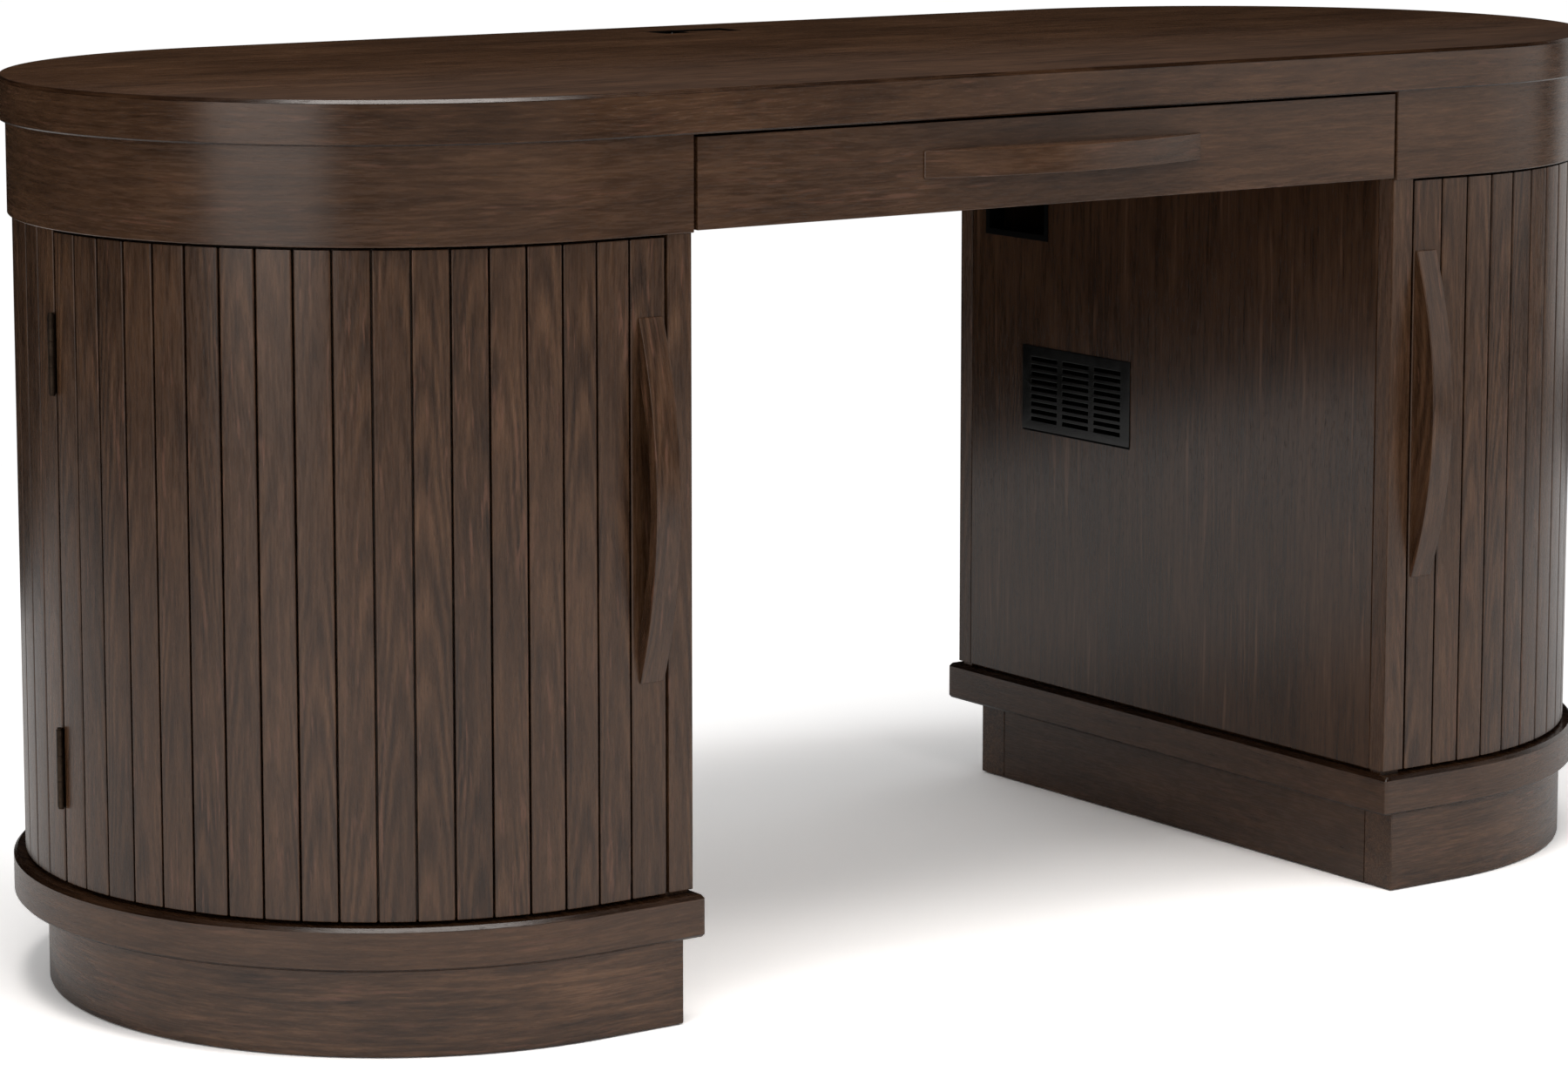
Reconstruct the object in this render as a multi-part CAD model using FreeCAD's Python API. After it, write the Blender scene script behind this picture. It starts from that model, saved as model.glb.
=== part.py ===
import FreeCAD, Part
import math
import os

V = FreeCAD.Vector

# ---------------------------------------------------------------- dimensions
# Oval double-pedestal desk. Millimetres, +Z up, +X along the length,
# -Y is the sitting side (drawer and doors). The plan is a stadium: a straight
# middle of 2 x XS with a half circle at each end.
XS = 465.0            # half length of the straight part
R_TOP = 326.0         # end radius of the desk top
R_APRON = 319.0       # end radius of the apron band
R_PED = 315.0         # end radius of the pedestal (outside of the staves)
R_BASE = 325.0        # end radius of the base slab
R_PLINTH = 303.0      # end radius of the plinth
PLINTH_DY = -13.5     # the plinth sits a little towards the front

Z_PLINTH0 = 1.0       # underside of the plinth, above the glides
Z_BASE0 = 72.5        # underside of the base slab
Z_PED0 = 108.0        # pedestal body, bottom
Z_PED1 = 647.0        # pedestal body, top, and apron bottom
Z_TOP0 = 726.0        # apron top and underside of the desk top
Z_TOP1 = 762.0        # desk top surface

X_IN = 375.2          # kneehole face of the pedestal and apron ends
X_BASE_IN = 369.5     # kneehole face of the base slab
X_PLINTH_IN = 385.5   # kneehole face of the plinth

PANEL_T = 18.0        # board thickness
STILE_W = 23.5        # stile width along X
STILE_T = 19.0        # stile thickness along Y
STAVE_T = 8.0         # stave thickness
CORE_T = 10.0         # bent core thickness
APRON_T = 22.0        # apron lamination thickness
PLINTH_T = 36.5       # plinth band thickness

DOOR_X0 = 401.0       # free edge of the door
DOOR_Z0, DOOR_Z1 = 111.0, 644.5
HINGE_GAP = 1.5       # half of the gap at the hinge line
GROOVE = 1.1          # chamfer of the groove between staves
FOOT_H, FOOT_D = 3.0, 6.0   # shadow line cut in the body where it stands on the base slab
STAVES_ARC = 16       # staves round each quarter of the end
STAVE_JOINT = 0.05    # half of the joint between two staves

HINGE_L = 64.0        # length of a butt hinge
HINGE_Z = (174.0, 514.0)
HINGE_X = XS + R_PED + 3.0
KNUCKLE_R = 3.0
PIN_R = 1.5
LEAF_T = 1.35

PULL_L = 295.0        # bowed pulls: length, width, height of the bow
PULL_W = 23.0
PULL_BOW = 26.5
PULL_TIP = 1.5        # thickness left at the tips
SCOOP_L = 206.0
SCOOP_DEPTH = 13.0
LIP = 10.0
HANDLE_X = 415.0
HANDLE_Z = 434.25
DRAWER_PULL_Z = 689.0

DRAWER_HALF = 372.0
DRAWER_Z0, DRAWER_Z1 = 648.5, 723.5
DRAWER_FRONT_T = 22.0
SIDE_T = 12.0
DRAWER_BACK_Y = 113.0
SLIDE_GAP = 12.7
SLIDE_Z = 684.0
SLIDE_Y0, SLIDE_Y1 = -290.0, 110.0

VENT_Y0, VENT_Y1 = 48.5, 213.5
VENT_Z0, VENT_Z1 = 359.0, 443.5
CABLE_Y0, CABLE_Y1 = 180.0, 270.0
CABLE_Z0, CABLE_Z1 = 551.0, 596.0

PORT_X, PORT_Y = 8.0, 247.0
PORT_L, PORT_W = 86.0, 36.0
PORT_SLOT = 26.0      # open part of the port, at its left end

SHELF_Z = 370.0
R_SHELF = 276.0
DRAWER_TRAVEL = 330.0

# The bounding box runs from the drawer pull's bow to the back of the top, so the
# plan is moved to put the origin under the middle of that box.
YC = (R_APRON + PULL_BOW - R_TOP) / 2.0

OUT = {}


# ------------------------------------------------------------------ helpers
def line(a, b):
    return Part.LineSegment(a, b).toShape()


def arc3(a, m, b):
    return Part.Arc(a, m, b).toShape()


def box(x0, x1, y0, y1, z0, z1):
    return Part.makeBox(x1 - x0, y1 - y0, z1 - z0, V(x0, y0, z0))


def cyl(r, p0, p1):
    d = p1.sub(p0)
    return Part.makeCylinder(r, d.Length, p0, d)


def prism(edges, vec):
    return Part.Face(Part.Wire(edges)).extrude(vec)


def d_shape(r, x_in, z0, z1, dy=0.0):
    """Half-round slab of the right end: straight kneehole face at x_in."""
    a, b = V(x_in, -r + dy, z0), V(XS, -r + dy, z0)
    c, d = V(XS, r + dy, z0), V(x_in, r + dy, z0)
    m = V(XS + r, dy, z0)
    return prism([line(a, b), arc3(b, m, c), line(c, d), line(d, a)], V(0, 0, z1 - z0))


def stadium(r, z0, z1):
    a, b = V(-XS, -r, z0), V(XS, -r, z0)
    c, d = V(XS, r, z0), V(-XS, r, z0)
    return prism(
        [line(a, b), arc3(b, V(XS + r, 0, z0), c), line(c, d), arc3(d, V(-XS - r, 0, z0), a)],
        V(0, 0, z1 - z0),
    )


def round_edges(shape, r, zs, keep=None):
    """Rounds the horizontal edges lying at the heights zs."""
    picked = []
    for e in shape.Edges:
        bb = e.BoundBox
        if bb.ZLength < 1e-6 and any(abs(bb.ZMin - z) < 1e-6 for z in zs):
            if keep is None or keep(bb):
                picked.append(e)
    return shape.makeFillet(r, picked)


def mirror_x(shape):
    return shape.mirror(V(0, 0, 0), V(1, 0, 0))


def group(solids):
    return Part.makeCompound(solids)


def add(name, shape):
    OUT[name] = shape


def both(name, shape):
    """Right-hand piece and its mirror image on the left."""
    add("right_" + name, shape)
    add("left_" + name, mirror_x(shape))


def both_in_one(name, solids):
    add(name, group(list(solids) + [mirror_x(s) for s in solids]))


def on_arc(r, ang):
    """Point of the right end at radius r; ang from the apex, + towards the back."""
    return V(XS + r * math.cos(ang), r * math.sin(ang), 0)


# ------------------------------------------------------------------ desk top
top = stadium(R_TOP, Z_TOP0, Z_TOP1)
top = round_edges(top, 4.5, [Z_TOP1])
top = round_edges(top, 4.5, [Z_TOP0])
px0, px1 = PORT_X - PORT_L / 2, PORT_X + PORT_L / 2
py0, py1 = PORT_Y - PORT_W / 2, PORT_Y + PORT_W / 2
top = top.cut(box(px0, px1, py0, py1, Z_TOP0 - 1, Z_TOP1 + 1))

# bolts that hold the pedestal, the corner block and the top together
BOLT_X, BOLT_YS = 413.0, (-200.0, 200.0)
BOLT_R, INSERT_R, INSERT_L = 3.0, 5.0, 18.0
for sx in (-1, 1):
    for by in BOLT_YS:
        top = top.cut(cyl(INSERT_R, V(sx * BOLT_X, by, Z_TOP0 - 1), V(sx * BOLT_X, by, Z_TOP0 + INSERT_L + 2)))
add("desk_top", top)

# --------------------------------------------------------------- cable port
wall = 2.0
liner = box(px0, px1, py0, py1, Z_TOP0 - 6, Z_TOP1)
slot_x1 = px0 + wall + PORT_SLOT
liner = liner.cut(box(px0 + wall, slot_x1, py0 + wall, py1 - wall, Z_TOP0 - 10, Z_TOP1 + 1))
liner = liner.cut(box(slot_x1 + wall, px1 - wall, py0 + wall, py1 - wall, Z_TOP1 - 5.4, Z_TOP1 + 1))
liner = liner.cut(box(slot_x1 + wall, px1 - wall, py0 + wall + 3.0, py1 - wall, Z_TOP0 - 10, Z_TOP1 + 1))
lid_x0, lid_x1 = slot_x1 + wall + 0.4, px1 - wall - 0.4
lid_y0, lid_y1 = py0 + wall + 0.6, py1 - wall - 0.4
lid_pin_r, lid_r = 1.0, 2.5
axis_y, axis_z = lid_y1 - lid_r, Z_TOP1 - lid_r
pin = cyl(lid_pin_r, V(slot_x1, axis_y, axis_z), V(px1 - 0.5, axis_y, axis_z))
liner = liner.cut(pin)
lid = box(lid_x0, lid_x1, lid_y0, axis_y, Z_TOP1 - 5.0, Z_TOP1)
lid = lid.fuse(cyl(lid_r, V(lid_x0, axis_y, axis_z), V(lid_x1, axis_y, axis_z))).removeSplitter()
lid = lid.cut(cyl(lid_pin_r + 0.05, V(lid_x0 - 1, axis_y, axis_z), V(lid_x1 + 1, axis_y, axis_z)))
# finger notch in the lid's free edge
lid = lid.cut(cyl(6.0, V((lid_x0 + lid_x1) / 2, lid_y0 - 2.5, Z_TOP1 - 6), V((lid_x0 + lid_x1) / 2, lid_y0 - 2.5, Z_TOP1 + 1)))
add("port_liner", liner)
add("port_lid_pin", pin)
add("port_lid", lid)

# -------------------------------------------------------------------- apron
apron = d_shape(R_APRON, X_IN, Z_PED1, Z_TOP0)
apron = apron.cut(d_shape(R_APRON - APRON_T, X_IN - 5, Z_PED1 - 1, Z_TOP0 + 1))
apron = round_edges(apron, 3.0, [Z_PED1], lambda bb: bb.XMax > XS + R_APRON - 1 and bb.XLength > 100)
both("apron_band", apron)
add("back_apron_rail", box(-X_IN, X_IN, R_APRON - APRON_T, R_APRON, Z_PED1, Z_TOP0))

# boards that carry the drawer slides, between the front and back apron
both_in_one("drawer_rails", [box(X_IN, X_IN + PANEL_T, -(R_APRON - APRON_T), R_APRON - APRON_T, Z_PED1, Z_TOP0)])

blocks, bolts, inserts = [], [], []
for by in BOLT_YS:
    b = box(X_IN + PANEL_T, X_IN + PANEL_T + 40, by - 20, by + 20, Z_PED1, Z_TOP0)
    b = b.cut(cyl(BOLT_R + 0.3, V(BOLT_X, by, Z_PED1 - 1), V(BOLT_X, by, Z_TOP0 + 1)))
    blocks.append(b)
    shank = cyl(BOLT_R, V(BOLT_X, by, Z_PED1 - PANEL_T - 1), V(BOLT_X, by, Z_TOP0 + INSERT_L - 1))
    head = cyl(8.0, V(BOLT_X, by, Z_PED1 - PANEL_T - 4), V(BOLT_X, by, Z_PED1 - PANEL_T))
    head = head.cut(Part.Face(Part.makePolygon(
        [V(BOLT_X + 2.9 * math.cos(k * math.pi / 3), by + 2.9 * math.sin(k * math.pi / 3), Z_PED1 - PANEL_T - 5) for k in range(7)]
    )).extrude(V(0, 0, 3.5)))
    bolts.append(shank.fuse(head).removeSplitter())
    ins = cyl(INSERT_R, V(BOLT_X, by, Z_TOP0), V(BOLT_X, by, Z_TOP0 + INSERT_L))
    ins = ins.cut(cyl(BOLT_R, V(BOLT_X, by, Z_TOP0 - 1), V(BOLT_X, by, Z_TOP0 + INSERT_L - 1)))
    inserts.append(ins)
both_in_one("corner_blocks", blocks)
both_in_one("top_bolts", bolts)
both_in_one("top_inserts", inserts)

# --------------------------------------------------------------------- base
base = d_shape(R_BASE, X_BASE_IN, Z_BASE0, Z_PED0)
base = round_edges(base, 4.0, [Z_PED0])
base = round_edges(base, 3.0, [Z_BASE0])
both("base_slab", base)

plinth = d_shape(R_PLINTH, X_PLINTH_IN, Z_PLINTH0, Z_BASE0, PLINTH_DY)
plinth = plinth.cut(d_shape(R_PLINTH - PLINTH_T, X_PLINTH_IN - 5, Z_PLINTH0 - 1, Z_BASE0 + 1, PLINTH_DY))

# glides: a disc with a nail, under the plinth band
glides = []
mid_r = R_PLINTH - PLINTH_T / 2
spots = [V(405, -mid_r + PLINTH_DY, 0), V(405, mid_r + PLINTH_DY, 0)]
for deg in (-40, 40):
    a = math.radians(deg)
    spots.append(V(XS + mid_r * math.cos(a), mid_r * math.sin(a) + PLINTH_DY, 0))
for p in spots:
    nail = cyl(1.5, V(p.x, p.y, 0.2), V(p.x, p.y, 16))
    plinth = plinth.cut(nail)
    disc = cyl(11.0, V(p.x, p.y, 0), V(p.x, p.y, Z_PLINTH0))
    glides.append(disc.fuse(nail).removeSplitter())
both("plinth_band", plinth)
both_in_one("floor_glides", glides)
both_in_one("plinth_rails", [box(X_PLINTH_IN, X_PLINTH_IN + PANEL_T, -(R_PLINTH - PLINTH_T) + PLINTH_DY,
                        (R_PLINTH - PLINTH_T) + PLINTH_DY, Z_PLINTH0, Z_BASE0)])

# ------------------------------------------------------------------ pedestal
y_st = R_PED - STILE_T
front_stile = box(X_IN, X_IN + STILE_W, -R_PED, -y_st, Z_PED0, Z_PED1)
back_stile = box(X_IN, X_IN + STILE_W, y_st, R_PED, Z_PED0, Z_PED1)
foot_x = box(X_IN - 1, X_IN + FOOT_D, -R_PED - 1, R_PED + 1, Z_PED0 - 1, Z_PED0 + FOOT_H)
for sy in (-1, 1):
    y0, y1 = sorted((sy * (R_PED - FOOT_D), sy * (R_PED + 1)))
    foot_y = box(X_IN - 1, X_IN + STILE_W + 1, y0, y1, Z_PED0 - 1, Z_PED0 + FOOT_H)
    if sy < 0:
        front_stile = front_stile.cut(foot_x).cut(foot_y).removeSplitter()
    else:
        back_stile = back_stile.cut(foot_x).cut(foot_y).removeSplitter()
both("front_stile", front_stile)
both("back_stile", back_stile)

x_pi = X_IN + PANEL_T          # inside face of the kneehole panel
panel = box(X_IN, x_pi, -y_st, y_st, Z_PED0, Z_PED1).cut(foot_x)
vent_in = 8.0                  # the grille's flange laps the panel by this much
panel = panel.cut(box(X_IN - 1, x_pi + 1, VENT_Y0 + vent_in, VENT_Y1 - vent_in, VENT_Z0 + vent_in, VENT_Z1 - vent_in))
panel = panel.cut(box(X_IN - 1, x_pi + 1, CABLE_Y0, CABLE_Y1, CABLE_Z0, CABLE_Z1))

# vent grille: a flange on the kneehole face, a sleeve in the cut-out, louvre slots
grille = box(X_IN - 2.0, X_IN, VENT_Y0, VENT_Y1, VENT_Z0, VENT_Z1)
sl = 8.0
sleeve = box(X_IN, X_IN + sl, VENT_Y0 + vent_in, VENT_Y1 - vent_in, VENT_Z0 + vent_in, VENT_Z1 - vent_in)
sleeve = sleeve.cut(box(X_IN - 1, X_IN + sl + 1, VENT_Y0 + vent_in + 1.6, VENT_Y1 - vent_in - 1.6,
                        VENT_Z0 + vent_in + 1.6, VENT_Z1 - vent_in - 1.6))
grille = grille.fuse(sleeve).removeSplitter()
col_w, rows, pitch, slot_h = 40.0, 9, 7.4, 3.8
yc_v, zc_v = (VENT_Y0 + VENT_Y1) / 2, (VENT_Z0 + VENT_Z1) / 2
slots = []
for c in (-1, 0, 1):
    for r in range(rows):
        zc = zc_v + (r - (rows - 1) / 2) * pitch
        yc = yc_v + c * 48.5
        slots.append(box(X_IN - 3, X_IN + 1, yc - col_w / 2, yc + col_w / 2, zc - slot_h / 2, zc + slot_h / 2))
grille = grille.cut(slots)
both_in_one("vent_grilles", [grille])

# cable cut-out with a plastic liner
cl = box(X_IN - 1.5, X_IN, CABLE_Y0 - 4, CABLE_Y1 + 4, CABLE_Z0 - 4, CABLE_Z1 + 4)
cl = cl.fuse(box(X_IN, x_pi, CABLE_Y0, CABLE_Y1, CABLE_Z0, CABLE_Z1)).removeSplitter()
cl = cl.cut(box(X_IN - 3, x_pi + 1, CABLE_Y0 + 2, CABLE_Y1 - 2, CABLE_Z0 + 2, CABLE_Z1 - 2))
both_in_one("cable_hole_liners", [cl])

# curved staves and their bent core
gap_ang = HINGE_GAP / R_PED
arc_ang = math.pi / 2 - gap_ang
joint_ang = STAVE_JOINT / R_PED


def stave_straight(x0, x1, sy, z0, z1):
    """A flat stave on the straight part; sy is -1 in front and +1 at the back."""
    g = GROOVE
    pts = [V(x0, sy * (R_PED - STAVE_T), z0), V(x1, sy * (R_PED - STAVE_T), z0),
           V(x1, sy * (R_PED - g), z0), V(x1 - g, sy * R_PED, z0),
           V(x0 + g, sy * R_PED, z0), V(x0, sy * (R_PED - g), z0)]
    return Part.Face(Part.makePolygon(pts + [pts[0]])).extrude(V(0, 0, z1 - z0))


def stave_curved(a0, a1, z0, z1):
    """A stave of the round end between two angles from the apex."""
    ga = GROOVE / R_PED
    ri, ro, am = R_PED - STAVE_T, R_PED, (a0 + a1) / 2
    up = V(0, 0, z0)
    i0, im, i1 = (on_arc(ri, a).add(up) for a in (a0, am, a1))
    o0, om, o1 = (on_arc(ro, a).add(up) for a in (a0 + ga, am, a1 - ga))
    c0, c1 = on_arc(ro - GROOVE, a0).add(up), on_arc(ro - GROOVE, a1).add(up)
    return prism([arc3(i0, im, i1), line(i1, c1), line(c1, o1), arc3(o1, om, o0), line(o0, c0), line(c0, i0)],
                 V(0, 0, z1 - z0))


def curved_staves(sy, x0, z0, z1):
    xm = x0 + (XS - x0) * 0.52
    out = [stave_straight(x0, xm - STAVE_JOINT, sy, z0, z1), stave_straight(xm + STAVE_JOINT, XS - STAVE_JOINT, sy, z0, z1)]
    step = arc_ang / STAVES_ARC
    for k in range(STAVES_ARC):
        a0 = gap_ang + k * step + (joint_ang if k else 0)
        a1 = gap_ang + (k + 1) * step - joint_ang
        out.append(stave_curved(a0, a1, z0, z1) if sy > 0 else stave_curved(-a1, -a0, z0, z1))
    return out


def curved_core(sy, x0, z0, z1):
    ro, ri = R_PED - STAVE_T, R_PED - STAVE_T - CORE_T
    ae = sy * HINGE_GAP / ((ro + ri) / 2)
    up = V(0, 0, z0)
    am = sy * math.pi / 4
    o0, om = on_arc(ro, ae).add(up), on_arc(ro, am).add(up)
    i0, im = on_arc(ri, ae).add(up), on_arc(ri, am).add(up)
    ob, ib = V(XS, sy * ro, z0), V(XS, sy * ri, z0)
    oe, ie = V(x0, sy * ro, z0), V(x0, sy * ri, z0)
    s = prism([arc3(o0, om, ob), line(ob, oe), line(oe, ie), line(ie, ib), arc3(ib, im, i0), line(i0, o0)],
              V(0, 0, z1 - z0))
    # the edge at the hinge line is planed flat for the leaves
    return s.cut(box(XS, XS + R_PED, -HINGE_GAP, HINGE_GAP, z0 - 1, z1 + 1))


back_core = curved_core(1, X_IN + STILE_W, Z_PED0, Z_PED1)
door_core = curved_core(-1, DOOR_X0, DOOR_Z0, DOOR_Z1)
back_staves = curved_staves(1, X_IN + STILE_W, Z_PED0 + FOOT_H, Z_PED1)
door_staves = curved_staves(-1, DOOR_X0, DOOR_Z0, DOOR_Z1)
slab = box(XS + 200, XS + R_PED + 5, -HINGE_GAP, HINGE_GAP, 0, 800)
back_staves = [s.cut(slab) if s.BoundBox.XMax > XS + R_PED - 1 else s for s in back_staves]
door_staves = [s.cut(slab) if s.BoundBox.XMax > XS + R_PED - 1 else s for s in door_staves]

# ------------------------------------------------------------------- hinges
LEAF_X0 = XS + R_PED - STAVE_T - CORE_T + 0.5
LEAF_X1 = HINGE_X - KNUCKLE_R - 0.4
SCREW_X = XS + R_PED - STAVE_T - CORE_T / 2
fixed_leaves, door_leaves, pins, fixed_screws, door_screws = [], [], [], [], []
for hz in HINGE_Z:
    third = HINGE_L / 3.0
    play = 0.15
    for sy, spans, bore, keep in ((1, ((0, third - play), (2 * third + play, HINGE_L)), PIN_R + 0.02, fixed_leaves),
                                  (-1, ((third + play, 2 * third - play),), PIN_R + 0.05, door_leaves)):
        y0, y1 = (HINGE_GAP - LEAF_T, HINGE_GAP) if sy > 0 else (-HINGE_GAP, -HINGE_GAP + LEAF_T)
        leaf = box(LEAF_X0, LEAF_X1, y0, y1, hz, hz + HINGE_L)
        for z0, z1 in spans:
            leaf = leaf.fuse(box(LEAF_X1 - 1, HINGE_X - 1.9, y0, y1, hz + z0, hz + z1))
            leaf = leaf.fuse(cyl(KNUCKLE_R, V(HINGE_X, 0, hz + z0), V(HINGE_X, 0, hz + z1)))
        leaf = leaf.removeSplitter()
        leaf = leaf.cut(cyl(bore, V(HINGE_X, 0, hz - 1), V(HINGE_X, 0, hz + HINGE_L + 1)))
        screws = fixed_screws if sy > 0 else door_screws
        for sz in (10.0, 32.0, 54.0):
            yo, yi = (y0, y1) if sy > 0 else (y1, y0)
            head = cyl(2.6, V(SCREW_X, yo, hz + sz), V(SCREW_X, yi, hz + sz))
            shank = cyl(1.4, V(SCREW_X, yi, hz + sz), V(SCREW_X, yi + sy * 11, hz + sz))
            screws.append(head.fuse(shank).removeSplitter())
            leaf = leaf.cut(head)
            if sy > 0:
                back_core = back_core.cut(shank)
            else:
                door_core = door_core.cut(shank)
        keep.append(leaf)
    shank = cyl(PIN_R, V(HINGE_X, 0, hz - 0.5), V(HINGE_X, 0, hz + HINGE_L + 0.5))
    for z0, z1 in ((hz - 1.6, hz - 0.1), (hz + HINGE_L + 0.1, hz + HINGE_L + 1.6)):
        shank = shank.fuse(cyl(2.4, V(HINGE_X, 0, z0), V(HINGE_X, 0, z1)))
    pins.append(shank.removeSplitter())
both_in_one("hinge_carcass_leaves", fixed_leaves)
both_in_one("hinge_pins", pins)
both_in_one("hinge_carcass_screws", fixed_screws)
both("hinge_leaves", group(door_leaves))

# -------------------------------------------------------------- bowed handles
def bow(length, width, rise, tip):
    """Bowed bar along +Z, chord on the plane y = 0, bow towards -Y, width along X."""
    h = length / 2
    a, b, c, d = V(0, 0, -h), V(0, -tip, -h), V(0, -tip, h), V(0, 0, h)
    f = Part.Face(Part.Wire([line(a, b), arc3(b, V(0, -rise, 0), c), line(c, d), line(d, a)]))
    return f.extrude(V(width, 0, 0)).translated(V(-width / 2, 0, 0)) if hasattr(f, "translated") else f.extrude(V(width, 0, 0))


def scooped_bow(side):
    """The bow with a finger scoop cut in from its +X (side=1) or -X (side=-1) face."""
    s = bow(PULL_L, PULL_W, PULL_BOW, PULL_TIP)
    h, rise = SCOOP_L / 2, PULL_BOW - LIP
    a, c = V(0, 1, -h), V(0, 1, h)
    f = Part.Face(Part.Wire([arc3(V(0, 0, -h), V(0, -rise, 0), V(0, 0, h)), line(V(0, 0, h), c), line(c, a), line(a, V(0, 0, -h))]))
    cutter = f.extrude(V(SCOOP_DEPTH + 1, 0, 0))
    cutter.translate(V(PULL_W / 2 - SCOOP_DEPTH if side > 0 else -PULL_W / 2 - 1, 0, 0))
    return s.cut(cutter)


handle = scooped_bow(1)
handle.translate(V(HANDLE_X, -R_PED, HANDLE_Z))
drawer_pull = scooped_bow(1)
# turned to lie along X with the scoop facing down
drawer_pull.rotate(V(0, 0, 0), V(0, 1, 0), 90)
drawer_pull.translate(V(0, -R_APRON, DRAWER_PULL_Z))

handle_screws = []
y_in = -(R_PED - STAVE_T - CORE_T)
for sz in (-1, 1):
    zc = HANDLE_Z + sz * 118.0
    xs = HANDLE_X - 4.0
    s = cyl(2.0, V(xs, y_in, zc), V(xs, -R_PED - 5.0, zc)).fuse(cyl(4.2, V(xs, y_in, zc), V(xs, y_in + 2.0, zc))).removeSplitter()
    handle_screws.append(s)
    hole = cyl(2.0, V(xs, y_in + 1, zc), V(xs, -R_PED - 5.0, zc))
    handle = handle.cut(hole)
    door_core = door_core.cut(hole)
    door_staves = [st.cut(hole) if st.BoundBox.XMin < xs + 3 else st for st in door_staves]
pull_screws = []
y_in_d = -(R_APRON - DRAWER_FRONT_T)
front = box(-DRAWER_HALF, DRAWER_HALF, -R_APRON, y_in_d, DRAWER_Z0, DRAWER_Z1)
for sx in (-1, 1):
    xc, zc = sx * 118.0, DRAWER_PULL_Z + 4.0
    s = cyl(2.0, V(xc, y_in_d, zc), V(xc, -R_APRON - 5.0, zc)).fuse(cyl(4.2, V(xc, y_in_d, zc), V(xc, y_in_d + 2.0, zc))).removeSplitter()
    pull_screws.append(s)
    hole = cyl(2.0, V(xc, y_in_d + 1, zc), V(xc, -R_APRON - 5.0, zc))
    drawer_pull = drawer_pull.cut(hole)
    front = front.cut(hole)

# ------------------------------------------------- inside of the pedestals
cab_r = R_PED - STAVE_T - CORE_T
cab_top = d_shape(cab_r, x_pi, Z_PED1 - PANEL_T, Z_PED1)
front_half = d_shape(cab_r + 5, x_pi - 5, Z_PED1 - PANEL_T - 1, Z_PED1 + 1).cut(
    d_shape(cab_r - 3, x_pi - 6, Z_PED1 - PANEL_T - 2, Z_PED1 + 2)).common(
    box(x_pi - 10, 900, -400, 0, 0, 800))
cab_top = cab_top.cut(front_half)
# corners of the board go round the stiles
cab_top = cab_top.cut(box(X_IN, X_IN + STILE_W + 0.2, y_st, R_PED, 600, 700))
cab_top = cab_top.cut(box(X_IN, X_IN + STILE_W + 0.2, -R_PED, -y_st, 600, 700))
for by in BOLT_YS:
    cab_top = cab_top.cut(cyl(BOLT_R + 0.3, V(BOLT_X, by, 600), V(BOLT_X, by, 700)))
both("cabinet_top", cab_top)

shelf = d_shape(R_SHELF, x_pi + 0.6, SHELF_Z, SHELF_Z + PANEL_T)
both_in_one("shelves", [shelf])
sp_r, sp_l = 2.5, 9.0
pins_s = []
for py in (-170.0, 170.0):
    p = cyl(sp_r, V(x_pi - sp_l, py, SHELF_Z - sp_r), V(x_pi + sp_l, py, SHELF_Z - sp_r))
    panel = panel.cut(p)
    pins_s.append(p)
z_sp = SHELF_Z - sp_r
p = cyl(sp_r, V(440, cab_r + 6, z_sp), V(440, R_SHELF - sp_l, z_sp))
back_core = back_core.cut(p)
pins_s.append(p)
ang = math.radians(32)
p = cyl(sp_r, on_arc(cab_r + 6, ang).add(V(0, 0, z_sp)), on_arc(R_SHELF - sp_l, ang).add(V(0, 0, z_sp)))
back_core = back_core.cut(p)
pins_s.append(p)
both_in_one("shelf_pins", pins_s)

both_in_one("door_stops", [box(x_pi, 405.5, -y_st, -280.0, Z_PED0, Z_PED1 - PANEL_T)])
both_in_one("door_catches", [box(424.0, 462.0, -y_st + 0.4, -281.0, Z_PED1 - PANEL_T - 13, Z_PED1 - PANEL_T)])
strike = box(426.0, 460.0, -cab_r, -cab_r + 1.0, Z_PED1 - PANEL_T - 12.5, Z_PED1 - PANEL_T - 0.5)
both("strike_plate", strike)

both("inner_panel", panel)
both("back_core", back_core)
both("back_staves", group(back_staves))
both("door_core", door_core)
both("door_staves", group(door_staves))
both("door_handle", handle)
both("door_screws", group(door_screws + handle_screws))

# ------------------------------------------------------------------- drawer
side_x1 = X_IN - SLIDE_GAP
side_x0 = side_x1 - SIDE_T
groove_z0, groove_z1 = 661.0, 667.0
side_z0, side_z1 = 655.0, 711.0
side = box(side_x0, side_x1, y_in_d, DRAWER_BACK_Y, side_z0, side_z1)
side = side.cut(box(side_x0 - 1, side_x0 + 6, y_in_d - 1, DRAWER_BACK_Y + 1, groove_z0, groove_z1))
both_in_one("drawer_sides", [side])
add("drawer_back", box(-side_x0, side_x0, DRAWER_BACK_Y - SIDE_T, DRAWER_BACK_Y, groove_z1, side_z1))
add("drawer_bottom", box(-(side_x0 + 6), side_x0 + 6, y_in_d - 6, DRAWER_BACK_Y, groove_z0, groove_z1))
front = front.cut(box(-(side_x0 + 6), side_x0 + 6, y_in_d - 6, y_in_d + 1, groove_z0, groove_z1))
add("drawer_front", front)
add("drawer_pull", drawer_pull)
add("drawer_pull_screws", group(pull_screws))


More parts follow.
